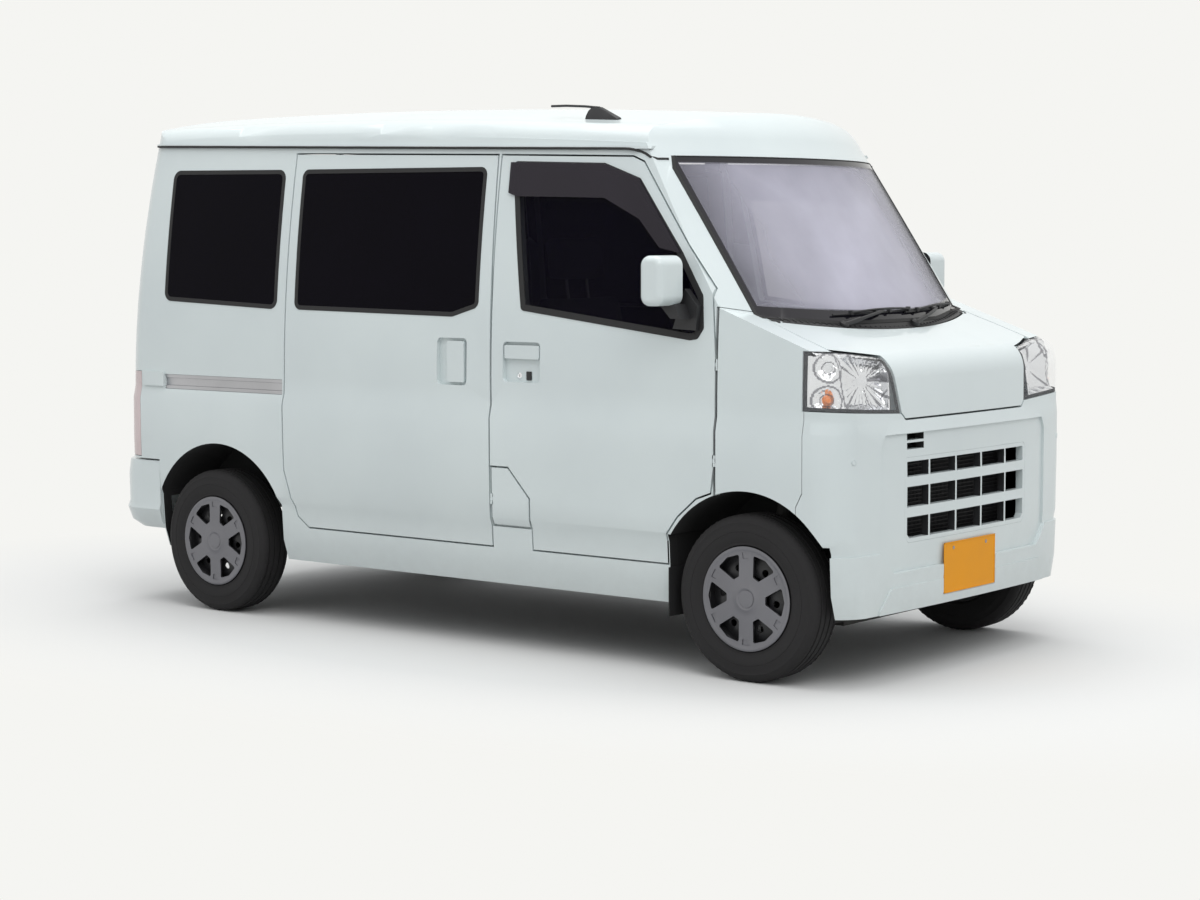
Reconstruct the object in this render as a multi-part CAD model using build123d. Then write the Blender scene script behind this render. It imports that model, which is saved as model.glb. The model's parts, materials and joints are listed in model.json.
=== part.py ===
from build123d import *
import math
import os

os.makedirs("parts", exist_ok=True)

# Overall size, millimetres. +X points to the front, +Y to the left side, +Z up, ground at Z = 0.
overall_length = 3395.0
overall_height = 1890.0
body_half_width = 737.0
wheelbase = 2450.0
front_axle_x = 1305.0
wheel_track = 1305.0
rear_axle_x = front_axle_x - wheelbase
front_x = overall_length / 2
rear_x = -overall_length / 2
wheel_y = wheel_track / 2

# Sheet, glass and gap sizes
wall = 40.0
seat_gap = 0.3
shut_gap = 6.0
glass_thickness = 5.0
edge_taper = 5.0
pivot_radius = 1.5
knuckle_radius = 4.0
running_clearance = 0.05

# Wheels
tyre_radius = 268.0
tyre_width = 145.0
rim_radius = 152.0
rim_flange_radius = 163.0
cover_radius = 168.0
spindle_radius = 12.0

# Body plan levels: height, half width, rear end
lower_levels = [
    (225.0, 690.0, -1640.0),
    (300.0, 714.0, -1655.0),
    (430.0, 722.0, -1657.0),
    (458.0, 733.0, -1657.0),
    (640.0, body_half_width, -1657.0),
    (796.0, body_half_width, -1655.0),
    (842.0, 727.0, -1654.0),
]
upper_levels = [
    (842.0, 727.0, -1654.0),
    (1240.0, 711.0, -1636.0),
    (1720.0, 650.0, -1592.0),
    (1980.0, 602.0, -1560.0),
]
corner_radius = 127.0
nose_corner_radius = 120.0
nose_corner_x = 1547.0
nose_corner_end = 8.0

# Roof: crown across and long arc along
roof_arc_radius = 30000.0
roof_apex_x = -1000.0
gutter_rise = 1722.0
gutter_slope = -0.0277

# Nose and windscreen, both turned about upright axes
nose_radius = 11000.0
nose_axis_x = front_x - nose_radius
bonnet_rear_z = 1301.0
bonnet_slope = 255.0 / 700.0
screen_axis_x = -100.0
cowl_radius = 1540.0

# Wheel arches
front_arch_radius = 343.0
front_arch_z = tyre_radius
rear_arch_radius = 362.0
rear_arch_x = -1110.0
rear_arch_z = 278.0
wheelhouse_inner_y = 405.0
wheelhouse_skin = 8.0

# Cabin
load_floor_z = 600.0
seat_box_z = 640.0
foot_floor_z = 400.0
floor_thickness = 30.0


def edge_at(edges, z):
    """Wire of edges drawn at ground level, lifted to a height."""
    return Wire([(Pos(0, 0, z) * edge).edge() for edge in edges])


def plan_wire(level, inset):
    """Closed outline of the body seen from above at one height."""
    z, half_width, back = level
    w = half_width - inset
    r = corner_radius - inset
    rn = nose_corner_radius - inset
    cx = nose_corner_x
    cy = half_width - nose_corner_radius
    a = math.radians(nose_corner_end)
    b = math.radians(45 + nose_corner_end / 2)
    ex = cx + rn * math.cos(a)
    ey = cy + rn * math.sin(a)
    mx = cx + rn * math.cos(b)
    my = cy + rn * math.sin(b)
    tip = ex + ey * math.tan(a)
    bx = back + inset
    k = r * (1 - math.sqrt(0.5))
    edges = [
        Line((bx + r, w), (cx, w)),
        ThreePointArc((cx, w), (mx, my), (ex, ey)),
        Line((ex, ey), (tip, 0)),
        Line((tip, 0), (ex, -ey)),
        ThreePointArc((ex, -ey), (mx, -my), (cx, -w)),
        Line((cx, -w), (bx + r, -w)),
        ThreePointArc((bx + r, -w), (bx + k, -w + k), (bx, -w + r)),
        Line((bx, -w + r), (bx, w - r)),
        ThreePointArc((bx, w - r), (bx + k, w - k), (bx + r, w)),
    ]
    return edge_at(edges, z)


def loft_levels(levels, inset, ruled):
    return Solid.make_loft([plan_wire(level, inset) for level in levels], ruled)


def nose_block(r):
    """Everything under the bonnet line and behind the nose."""
    with BuildSketch(Plane.XZ) as sketch:
        with BuildLine():
            Polyline(
                (900, bonnet_rear_z - r), (900, 150), (1672 - r, 150), (1690 - r, 300), (front_x - r, 420),
                (front_x - r, 640), (1694 - r, 790), (1682 - r, 832), (1668 - r, 960),
            )
            ThreePointArc(
                (1668 - r, 960), (1648 - 0.9 * r, 1010 - 0.4 * r), (1600 - 0.4 * r, 1046 - r)
            )
            Line((1600 - 0.4 * r, 1046 - r), (900, bonnet_rear_z - r))
        make_face()
    axis = Axis((nose_axis_x, 0, 0), (0, 0, 1))
    return revolve(sketch.sketch.rotate(axis, -6), axis, 12)


def screen_cone(r):
    """Everything behind the windscreen, with the header curve above it."""
    a = screen_axis_x
    s = 1.17 * r
    with BuildSketch(Plane.XZ) as sketch:
        with BuildLine():
            Polyline(
                (a, 1925 - r), (a, 100), (a + 1500 - r, 100), (a + 1500 - r, 1100),
                (a + 1532 - s, 1100), (a + 1154 - s, 1720),
            )
            ThreePointArc(
                (a + 1154 - s, 1720), (a + 1094 - 0.8 * r, 1796 - 0.6 * r), (a + 990 - 0.4 * r, 1846 - r)
            )
            Polyline((a + 990 - 0.4 * r, 1846 - r), (a + 700, 1925 - r), (a, 1925 - r))
        make_face()
    axis = Axis((a, 0, 0), (0, 0, 1))
    return revolve(sketch.sketch, axis, 360)


def roof_block(r):
    """Everything under the crowned roof."""
    shoulder = 1832 - r
    with BuildSketch(Plane.YZ.offset(roof_apex_x)) as sketch:
        with BuildLine():
            ThreePointArc((-565 + 0.3 * r, shoulder), (0, overall_height - r), (565 - 0.3 * r, shoulder))
            ThreePointArc((565 - 0.3 * r, shoulder), (618 - 0.7 * r, 1812 - r), (644 - r, 1772 - r))
            Polyline((644 - r, 1772 - r), (900, 1752 - r), (900, 0), (-900, 0), (-900, 1752 - r), (-644 + r, 1772 - r))
            ThreePointArc((-644 + r, 1772 - r), (-618 + 0.7 * r, 1812 - r), (-565 + 0.3 * r, shoulder))
        make_face()
    axis = Axis((roof_apex_x, 0, overall_height - roof_arc_radius), (0, 1, 0))
    return revolve(sketch.sketch.rotate(axis, -6.5), axis, 13)


def rear_block(r):
    """Rounds the top of the tail."""
    with BuildSketch(Plane.XZ) as sketch:
        with BuildLine():
            Polyline(
                (-1591 + r, 1735), (-1760, 1735), (-1760, 100), (1800, 100), (1800, 1960), (-1330, 1960 - r),
                (-1490 + 0.4 * r, 1880 - r),
            )
            ThreePointArc((-1490 + 0.4 * r, 1880 - r), (-1562 + 0.7 * r, 1828 - 0.7 * r), (-1591 + r, 1735))
        make_face()
    return extrude(sketch.sketch, 1000, both=True)


def nose_form(inset):
    """The body form in front of the windscreen only."""
    sides = loft_levels(lower_levels, inset, True) + loft_levels(upper_levels, inset, False)
    return sides & nose_block(inset)


def body_form(inset):
    sides = loft_levels(lower_levels, inset, True) + loft_levels(upper_levels, inset, False)
    sides = sides & roof_block(inset)
    sides = sides & rear_block(inset)
    cabin = screen_cone(inset) + block(-1800, -150, -900, 900, 100, 1925 - inset)
    return (sides & nose_block(inset)) + (sides & cabin)


def xz_face(points, radii=None, y=0.0):
    """Face drawn in side view, with rounded corners where radii are given."""
    pts = [(x, y, z) for x, z in points]
    if radii:
        return make_face(FilletPolyline(*pts, radius=radii, close=True))
    return make_face(Polyline(*pts, close=True))


def side_cut(points, radii=None, depth=260.0, taper=edge_taper, grow=0.0):
    """Tool through the right side wall, narrowing inwards."""
    face = xz_face(points, radii, -body_half_width - 2)
    if grow:
        face = offset(face, amount=grow, kind=Kind.INTERSECTION).face()
    return extrude(face, amount=depth, dir=(0, 1, 0), taper=taper)


def yz_prism(points, x0, x1, radii=None):
    pts = [(x0, y, z) for y, z in points]
    if radii:
        face = make_face(FilletPolyline(*pts, radius=radii, close=True))
    else:
        face = make_face(Polyline(*pts, close=True))
    return extrude(face, amount=x1 - x0, dir=(1, 0, 0))


def xz_prism(points, y0, y1, radii=None):
    return extrude(xz_face(points, radii, y0), amount=y1 - y0, dir=(0, 1, 0))


def block(x0, x1, y0, y1, z0, z1):
    return Pos((x0 + x1) / 2, (y0 + y1) / 2, (z0 + z1) / 2) * Box(x1 - x0, y1 - y0, z1 - z0)


def across(x, z, radius, y0, y1):
    """Round bar or hole lying across the body."""
    return Pos(x, (y0 + y1) / 2, z) * Rot(90, 0, 0) * Cylinder(radius, abs(y1 - y0))


def along(y, z, radius, x0, x1):
    return Pos((x0 + x1) / 2, y, z) * Rot(0, 90, 0) * Cylinder(radius, abs(x1 - x0))


def upright(x, y, radius, z0, z1):
    return Pos(x, y, (z0 + z1) / 2) * Cylinder(radius, z1 - z0)


def flip(shape):
    return mirror(shape, about=Plane.XZ)


def pivot(centre, direction, leaf_side, inward, length=36.0, fixed_web=True):
    """One hinge: leaf knuckle, fixed knuckles with the pin, and the pocket that clears them."""
    place = Plane(origin=centre, x_dir=leaf_side, z_dir=direction)
    third = length / 3
    web = knuckle_radius + 8
    step = 6.0 * inward

    def knuckle(height, side):
        barrel = Cylinder(knuckle_radius, height)
        if side < 0 and not fixed_web:
            return barrel
        return barrel + Pos(side * web / 2, step / 2, 0) * Box(web, abs(step), height)

    leaf = place * (knuckle(third - 0.6, 1) - Cylinder(pivot_radius + running_clearance, length))
    fixed = place * (
        Pos(0, 0, third) * knuckle(third, -1)
        + Pos(0, 0, -third) * knuckle(third, -1)
        + Cylinder(pivot_radius, length)
    )
    pocket = place * Cylinder(knuckle_radius + 2.8, length + 2)
    return leaf, fixed, pocket



# Body shell
outer_form = body_form(0)
inner_form = body_form(wall)
shell = outer_form - inner_form

# Wheel arches
front_arch = across(front_axle_x, front_arch_z, front_arch_radius, -900, 900)
front_arch = front_arch + block(1004, 1612, -900, 900, 100, 453)
front_arch = front_arch & block(1004, 1612, -900, 900, 100, 700)
rear_arch = across(rear_arch_x, rear_arch_z, rear_arch_radius, -900, 900)
rear_arch = rear_arch & block(-1430, -780, -900, 900, 100, 700)
rear_arch = rear_arch + block(-1430, -780, -900, 900, 100, rear_arch_z)
shell = shell - front_arch - rear_arch

# Side-view outlines of the shut lines: x, z
front_door_right_outline = [
    (237, 1696), (812, 1678), (862, 1658), (1171, 1246), (1190.5, 1025), (1190.5, 680), (1178, 596),
    (1120, 575), (1045, 512), (1000, 453), (1000, 352), (423, 352), (423, 530), (330, 631), (248, 631),
    (248, 850),
]
front_door_left_outline = [
    (237, 1696), (812, 1678), (862, 1658), (1171, 1246), (1190.5, 1025), (1190.5, 680), (1178, 596),
    (1120, 575), (1045, 512), (1000, 453), (1000, 352), (248, 352), (248, 850),
]
sliding_door_outline = [
    (-754, 1722), (237, 1696), (248, 850), (248, 352), (-645, 352), (-700, 392), (-755, 560), (-758, 820), (-754, 900),
]
fuel_lid_outline = [(254, 428), (423, 428), (423, 530), (330, 631), (254, 631)]


half = shut_gap / 2
trim_stand = 8.0
right_wall = shell & block(-1800, 1800, -900, -540, 100, 1800)
left_wall = shell & block(-1800, 1800, 540, 900, 100, 1800)

door_right = right_wall & side_cut(front_door_right_outline, grow=-half)
door_left = left_wall & flip(side_cut(front_door_left_outline, grow=-half))
sliding_right = right_wall & side_cut(sliding_door_outline, grow=-half)
sliding_left = flip(sliding_right)
lid = (right_wall & side_cut(fuel_lid_outline, grow=-half)) & block(200, 500, -800, -body_half_width + 14, 300, 700)



def shrink(face, gap):
    return offset(face, amount=-gap, kind=Kind.INTERSECTION).face()


def front_prism(points, gap=0.0):
    face = make_face(Polyline(*[(700, y, z) for y, z in points], close=True)).face()
    if gap:
        face = shrink(face, gap)
    return extrude(face, amount=1100, dir=(1, 0, 0))


def rear_prism(points, gap=0.0, taper=0.0):
    face = make_face(Polyline(*[(tail_base_x, y, z) for y, z in points], close=True)).face()
    if gap:
        face = shrink(face, gap)
    return extrude(face, amount=400, dir=(1, 0, 0), taper=taper)


def both(shape):
    return [shape, flip(shape)]


def group(pieces):
    solids = []
    for piece in pieces:
        solids.extend(piece.solids())
    return Compound(children=solids) if len(solids) > 1 else solids[0]


# Roof, with the header above the windscreen and the one above the tailgate
tail_base_x = -1660.0
tail_taper = 4.0
roof_region = xz_prism(
    [
        (-1800, gutter_rise - 1800 * gutter_slope), (819, gutter_rise + 819 * gutter_slope),
        (930, 1640), (1300, 1640), (1300, 2000), (-1800, 2000),
    ],
    -900, 900,
)
roof_region = roof_region + block(-1800, -1480, -556, 556, 1740, 1790)
tailgate_outline = [(-598, 566), (598, 566), (606, 1100), (562, 1762), (-562, 1762), (-606, 1100)]
tailgate_window = [(-500, 1180), (500, 1180), (505, 1240), (490, 1600), (450, 1650), (-450, 1650), (-490, 1600), (-505, 1240)]
screen_outline = [
    (-612, 1152), (-300, 1128), (300, 1128), (612, 1152), (614, 1630), (596, 1670), (-596, 1670), (-614, 1630),
]
nose_points = [(1195, 100), (1195, 1186), (1262, 1168), (1460, 1120), (1800, 1120), (1800, 100)]
nose_zone = xz_prism(nose_points, -900, 900)
nose_points_wide = [(1186, 100), (1186, 1188), (1192, 1189), (1262, 1170), (1460, 1122), (1800, 1122), (1800, 100)]
nose_zone_wide = xz_prism(nose_points_wide, -900, 900)
scuttle = block(1150, 1600, -600, 600, 950, 1200)
skin_form = body_form(glass_thickness)
pane_shell = outer_form - skin_form

tailgate_tool = rear_prism(tailgate_outline, half, tail_taper)
tailgate_hole = rear_prism(tailgate_outline, -half, tail_taper)
screen_hole = front_prism(screen_outline) & block(700, 1500, -900, 900, 1000, 1800)
rear_low = block(-1800, -1434, -900, 900, 100, 563)

windscreen = pane_shell & front_prism(screen_outline, seat_gap) & block(700, 1500, -900, 900, 1000, 1800)
nose_shell = (shell - screen_hole) & nose_zone

roof = (shell & roof_region) - screen_hole - tailgate_hole
below_roof = (shell - roof_region) - screen_hole - tailgate_hole - rear_low
tailgate = (shell & tailgate_tool) & block(-1800, -1400, -900, 900, 500, 1800)

# Side frames
door_hole_right = side_cut(front_door_right_outline, grow=half)
door_hole_left = flip(side_cut(front_door_left_outline, grow=half))
slide_hole = side_cut(sliding_door_outline, grow=half)
quarter_outline = [(-1397, 1660), (-754 - 45, 1652), (-762 - 40, 1153), (-1404, 1177)]
quarter_radii = 30
quarter_hole = side_cut(quarter_outline, quarter_radii, taper=0)
lid_hole = side_cut(fuel_lid_outline, grow=half, taper=0) & block(200, 500, -900, -body_half_width + 30, 300, 700)

frame_zone_right = block(-1800, 1430, -900, -400, 100, 1900)
tail_lamp_zone = block(-1800, -1536, -900, -580, 570, 900)
wall_right = (below_roof & frame_zone_right) - nose_zone_wide - scuttle
side_frame_right = wall_right - door_hole_right - slide_hole - quarter_hole - lid_hole - tail_lamp_zone
side_frame_left = flip(wall_right - side_cut(front_door_left_outline, grow=half) - slide_hole - quarter_hole - tail_lamp_zone)

# Nose pieces
fixed_gap = 2.0
panel_recess = 8.0
band_stand = 7.0
chin_stand = 13.0
slot_levels = [737, 766]
slot_height = 21
lens_thickness = 4.0
lip_thickness = 18.0
lamp_depth = 75.0
bonnet_outline = [
    (-374, 833), (-396, 853), (-432, 1032), (-629, 1056), (-624, 1100), (-598, 1180),
    (598, 1180), (624, 1100), (629, 1056), (432, 1032), (396, 853), (374, 833),
]
headlamp_outline = [(-398, 853), (-434, 1028), (-600, 1050), (-760, 1058), (-760, 874), (-560, 862)]
nose_low_points = [(1525, 100), (1525, 874), (1800, 860), (1800, 100)]
bonnet_zone = front_prism(bonnet_outline, half) - (Pos(screen_axis_x, 0, 1150) * Cylinder(cowl_radius + half, 600))
bonnet_hole = front_prism(bonnet_outline, -half) - (Pos(screen_axis_x, 0, 1150) * Cylinder(cowl_radius - half, 600))
lamp_front = block(1517 + seat_gap, 1800, -900, 900, 700, 1200)
lamp_zone = front_prism(headlamp_outline, fixed_gap / 2) & lamp_front
lamp_hole = front_prism(headlamp_outline, -fixed_gap / 2) & block(1517, 1800, -900, 900, 700, 1200)
nose_skin = nose_form(0)
lens_form = nose_form(lens_thickness)
housing_form = nose_form(lens_thickness + seat_gap)
lamp_body = housing_form - nose_form(lamp_depth)

bonnet = nose_shell & bonnet_zone
# Thin lips at the rear corners of the bonnet, which pass the fenders as it lifts
corner_relief = nose_form(lip_thickness) & block(1290, 1400, 598, 700, 1000, 1200)
bonnet = bonnet - corner_relief - flip(corner_relief)
headlamp = lamp_body & lamp_zone
# Reflector bowls of one headlamp: x, y, z, radius
bowls = [(1688, -508, 948, 92), (1668, -610, 985, 62), (1655, -625, 905, 52)]
for x, y, z, radius in bowls:
    headlamp = headlamp - Pos(x, y, z) * Sphere(radius)
headlamps = both(headlamp)
lens = (nose_skin - lens_form) & lamp_zone
headlamp_lenses = both(lens)
nose_rest = nose_shell - bonnet_hole - lamp_hole - flip(lamp_hole)
bumper_zone = xz_prism([(1490, 100), (1502, 572), (1526, 617), (1526, 830), (1800, 830), (1800, 100)], -900, 900)
bumper_side = block(1526, 1800, -900, 900, 825, 880)
front_bumper = nose_rest & (bumper_zone + bumper_side)
centre_zone = front_prism([
    (-525, 421), (-525, 752), (-505, 790), (505, 790), (525, 752), (525, 421), (461, 352), (-461, 352),
])
panel_form = nose_form(panel_recess)
front_bumper = front_bumper - ((nose_form(-seat_gap) - panel_form) & centre_zone & block(1560, 1800, -900, 900, 300, 850))
band_zone = front_prism([
    (-900, 200), (-900, 421), (-532, 421), (-461, 352), (461, 352), (532, 421), (900, 421), (900, 200),
])
chin_zone = front_prism([(-527, 200), (-527, 238), (-478, 306), (478, 306), (527, 238), (527, 200)])
front_space = block(1560, front_x, -900, 900, 200, 460) - front_arch
band = ((nose_form(-band_stand) - inner_form) & band_zone) & front_space
chin = ((nose_form(-chin_stand) - inner_form) & chin_zone) & front_space
front_bumper = front_bumper + band + chin
for z in slot_levels:
    slot = block(1500, 1800, -374, -277, z, z + slot_height)
    front_bumper = front_bumper - slot
upper_rest = nose_rest - xz_prism([(1488, 100), (1500, 574), (1524, 619), (1524, 832), (1800, 832), (1800, 100)], -900, 900) - block(1524, 1800, -900, 900, 820, 882)
cowl_zone = (Pos(screen_axis_x, 0, 1150) * Cylinder(cowl_radius - half, 600)) & block(1197, 1500, -598, 598, 950, 1200)
cowl_panel = (shell - screen_hole) & cowl_zone
fender_right = (upper_rest & block(1197, 1800, -900, -300, 200, 1300)) - ((Pos(screen_axis_x, 0, 1150) * Cylinder(cowl_radius + half, 600)) & scuttle)
front_fenders = both(fender_right)

# Grille opening and bars
grille_hole_outline = [(-366, 440), (-388, 462), (-388, 702), (-378, 712), (378, 712), (388, 702), (388, 462), (366, 440)]
grille_hole = front_prism(grille_hole_outline)
front_bumper = front_bumper - grille_hole
grille_bars = [(634, 32), (537, 32)]
grille_posts = [-245, -82, 82, 245]
lattice = []
for z, height in grille_bars:
    lattice.append(block(1500, 1800, -420, 420, z - height / 2, z + height / 2))
for y in grille_posts:
    lattice.append(block(1500, 1800, y - 5, y + 5, 430, 720))
lattice_tool = lattice[0].fuse(*lattice[1:])
grille_frame_tool = front_prism(grille_hole_outline, seat_gap) - front_prism(grille_hole_outline, 14.0)
grille = (panel_form - nose_form(34.0)) & (lattice_tool + grille_frame_tool)
grille = grille & front_prism(grille_hole_outline, seat_gap)

# Rear bumper
bumper_wall = 34.0
# Level heights, half widths and rear ends
bumper_levels = [
    (292.0, 700.0, rear_x + 42), (318.0, 724.0, rear_x + 10), (368.0, 738.0, rear_x),
    (392.0, 732.0, rear_x + 6), (500.0, 734.0, rear_x + 6), (556.0, 731.0, rear_x + 14),
]
bumper_outer = loft_levels(bumper_levels, 0, True)
bumper_inner = loft_levels([(z - 1 if i == 0 else z + 1, w, b) for i, (z, w, b) in enumerate(bumper_levels)], bumper_wall, True)
rear_bumper = (bumper_outer - bumper_inner) & block(-1800, -1436, -900, 900, 200, 560)
bumper_space = loft_levels([(z, w, b) for z, w, b in bumper_levels], bumper_wall + seat_gap, True)

# Tail lamps
tail_lamp = (shell & block(-1800, -1538, -900, -590, 572, 898)) - tailgate_hole
tail_lamps = both(tail_lamp)

# Glass
pane = outer_form - skin_form
tailgate_glass_hole = rear_prism(tailgate_window)
tailgate_glass = (pane & rear_prism(tailgate_window, seat_gap)) & block(-1800, -1400, -900, 900, 1100, 1700)
tailgate = tailgate - tailgate_glass_hole
door_window = [(382, 1169), (308, 1659), (694, 1645), (845, 1593), (1037, 1356), (1126, 1221), (1133, 1120), (1112, 1090), (1085, 1086)]
slide_window = [(-700, 1154), (-700, 1651), (180, 1643), (180, 1175), (66, 1142)]


def pane_in(outline, radii):
    return pane & side_cut(outline, radii, taper=0, grow=-seat_gap)


right_panes = [pane_in(slide_window, 24), pane_in(quarter_outline, quarter_radii)]
side_glass = right_panes + [flip(p) for p in right_panes]
sliding_right = sliding_right - side_cut(slide_window, 24, taper=0)
sliding_left = flip(sliding_right)
door_window_hole = side_cut(door_window, 10, taper=0)
door_right = door_right - door_window_hole
door_left = door_left - flip(door_window_hole)
front_door_pane = pane_in(door_window, 10)

# Trim that lies on the skin: drip mouldings, rain visors, rail ends, wipers
trim_form = body_form(-trim_stand)
visor_form = body_form(-seat_gap)
drip_points = [
    (-1560, gutter_rise + 1560 * 0.0277 - 5), (880, gutter_rise - 880 * 0.0277 - 5),
    (880, gutter_rise - 880 * 0.0277 + 5), (-1560, gutter_rise + 1560 * 0.0277 + 5),
]
drip = (trim_form - outer_form) & xz_prism(drip_points, -900, 900)
roof = roof + (drip & block(-1600, 900, -900, -560, 1600, 1850)) + (drip & block(-1600, 900, 560, 900, 1600, 1850))
rail_end = ((trim_form - outer_form) & xz_prism([(-1520, 846), (-1404, 846), (-1404, 901), (-1520, 901)], -900, -600))
side_frame_right = side_frame_right + rail_end
side_frame_left = side_frame_left + flip(rail_end)
visor_points = [
    (293, 1662), (293, 1559), (330, 1546), (709, 1536), (860, 1466), (951, 1373), (1037, 1356),
    (845, 1597), (694, 1649),
]
visor = (trim_form - visor_form) & xz_prism(visor_points, -900, -500)
screen_layer = (trim_form - visor_form) & block(1100, 1500, -700, 700, 1100, 1250)


def strip(y0, z0, y1, z1, width):
    """Narrow bar between two points of the front view."""
    run = math.hypot(y1 - y0, z1 - z0)
    dy = (z1 - z0) / run * width / 2
    dz = (y1 - y0) / run * width / 2
    return front_prism([(y0 + dy, z0 - dz), (y1 + dy, z1 - dz), (y1 - dy, z1 + dz), (y0 - dy, z0 + dz)])


# Wiper pivots and blades: pivot y, blade start y, blade end y
wiper_clearance = 15.0
wiper_space = Pos(screen_axis_x, 0, 1150) * Cylinder(cowl_radius - wiper_clearance, 600)
wipers = []
for pivot_y, start_y, end_y in [(-300, -330, 165), (91, 60, 560)]:
    middle_y = (start_y + end_y) / 2
    tool = strip(start_y, 1153, end_y, 1158, 10) + strip(pivot_y, 1119, middle_y, 1157, 14)
    wipers.append(screen_layer & tool & wiper_space)

# Door mirrors
mirror_cap = Pos(1040, -818, 1270) * Box(90, 116, 160)
mirror_cap = fillet(mirror_cap.edges().filter_by(Axis.Y), 34)
mirror_cap = fillet(mirror_cap.faces().sort_by(Axis.Y)[0].edges(), 22)
mirror_cap = mirror_cap - (Pos(994, -818, 1270) * Box(10, 92, 132))
mirror_arm = xz_prism([(1020, 1196), (1080, 1196), (1104, 1150), (1066, 1150)], -800, -690)
mirror_foot = xz_prism([(1030, 1116), (1122, 1112), (1128, 1190), (1078, 1244)], -740, -690)
mirror_right = (mirror_cap + mirror_arm + mirror_foot) - body_form(-seat_gap)
mirror_right = max(mirror_right.solids(), key=lambda solid: solid.volume)

# Floor: load floor, seat box, foot well and bulkhead in one pressing
floor_profile = [
    (-1612, 570), (-1612, 600), (230, 600), (230, 640), (760, 640), (790, 430), (1180, 430), (1330, 560),
    (1360, 1060), (1390, 1060), (1362, 545), (1195, 400), (765, 400), (735, 610), (262, 610), (262, 570),
]
floor_space = body_form(wall + seat_gap)
front_liner = across(front_axle_x, front_arch_z, front_arch_radius + wheelhouse_skin, -900, -wheelhouse_inner_y + wheelhouse_skin)
front_liner = (front_liner + block(996, 1612, -900, -wheelhouse_inner_y + wheelhouse_skin, 200, 453)) & block(996, 1612, -900, 0, 200, 700)
front_well = (front_arch & block(900, 1800, -900, -wheelhouse_inner_y, 100, 700))
rear_liner = (across(rear_arch_x, rear_arch_z, rear_arch_radius + wheelhouse_skin, -900, -470 + wheelhouse_skin)) & block(-1438, -772, -900, 0, 420, 700)
rear_well = rear_arch & block(-1600, -700, -900, -470, 100, 700)
floor_pan = xz_prism(floor_profile, -720, 720)
liners = both(front_liner) + both(rear_liner)
wells = both(front_well) + both(rear_well)
floor_pan = floor_pan.fuse(*liners)
floor_pan = floor_pan.cut(*wells)
floor_pan = floor_pan & floor_space
floor_pan = floor_pan & block(-1612, 1480, -900, 900, 240, 1100)

# Middle pillar behind the doors
pillar_ring = body_form(wall + shut_gap) - body_form(wall + 50)
foot_ring = body_form(wall - 2) - body_form(wall + 50)
pillar = pillar_ring & block(212, 282, -900, -400, 300, 1711)
pillar_top = foot_ring & block(212, 282, -900, -400, 1701, 1711)
pillar_foot = foot_ring & block(212, 282, -900, -400, 240, 347)
pillar = pillar + pillar_top + pillar_foot
side_frame_right = side_frame_right + pillar
side_frame_left = side_frame_left + flip(pillar)
floor_pan = floor_pan - block(208, 286, -900, -560, 200, 700) - block(208, 286, 560, 900, 200, 700)

# Door pulls: a bar in a sunk dish. Dish x0, x1, z0, z1, then the same for the bar
front_pull = ((301, 465, 921, 1057), (307, 459, 1000, 1046))
slide_pull = ((0, 137, 902, 1064), (44, 122, 912, 1054))
pull_depth = 12.0
pull_skin_y = -720.0


def door_pull(door, pull):
    dish, bar = pull
    floor_y = pull_skin_y + pull_depth
    tool = block(dish[0], dish[1], -800, floor_y, dish[2], dish[3])
    tool = fillet(tool.edges().filter_by(Axis.Y), 16)
    grip = block(bar[0], bar[1], pull_skin_y - 3, floor_y - 4, bar[2], bar[3])
    grip = fillet(grip.edges().filter_by(Axis.Y), 7)
    foot = block(bar[0] + 14, bar[1] - 14, floor_y - 5, floor_y + 1, bar[2] + 12, bar[3] - 12)
    return (door - tool) + grip + foot


sliding_right = door_pull(sliding_right, slide_pull)
sliding_left = flip(sliding_right)
door_right = door_pull(door_right, front_pull)
door_left = flip(door_pull(flip(door_left), front_pull))

# Rail channel of the sliding doors
rail_slot = block(-1404, -764, -760, -713, 836, 892)
side_frame_right = side_frame_right - rail_slot
side_frame_left = side_frame_left - flip(rail_slot)
rail = block(-1403.7, -764.3, -723, -713.3, 836.3, 891.7) - block(-1500, -700, -760, -717, 850, 878)
door_rails = both(rail)

# Door hinges on a line that follows the lean of the side
hinge_low = Vector(1190.5, -735.0, 700.0)
hinge_high = Vector(1190.5, -720.5, 1005.0)
hinge_line = (hinge_high - hinge_low).normalized()
for spot in (hinge_low, hinge_high):
    leaf, fixed, pocket = pivot(spot, hinge_line, (-1, 0, 0), -1)
    door_right = (door_right - pocket) + leaf
    door_left = (door_left - flip(pocket)) + flip(leaf)
    fender_right = (fender_right - pocket) + fixed
front_fenders = both(fender_right)

gate_pivot_x = -1587.0
gate_pivot_z = 1762.0 - (gate_pivot_x - tail_base_x) * math.tan(math.radians(tail_taper))
for y in (-420, 420):
    leaf, fixed, pocket = pivot((gate_pivot_x, y, gate_pivot_z), (0, 1, 0), (0, 0, -1), -1)
    tailgate = (tailgate - pocket) + leaf
    roof = (roof - pocket) + fixed

bonnet_pivot_y = 570.0
bonnet_pivot_x = screen_axis_x + math.sqrt(cowl_radius ** 2 - bonnet_pivot_y ** 2)
bonnet_pivot_z = bonnet_rear_z - 2.5 - bonnet_slope * (
    bonnet_pivot_x + bonnet_pivot_y ** 2 / (2 * nose_radius) - 900
)
for y in (-bonnet_pivot_y, bonnet_pivot_y):
    leaf, fixed, pocket = pivot((bonnet_pivot_x, y, bonnet_pivot_z), (0, 1, 0), (0.94, 0, -0.342), 1)
    bonnet = (bonnet - pocket) + leaf
    cowl_panel = (cowl_panel - pocket) + fixed

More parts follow.
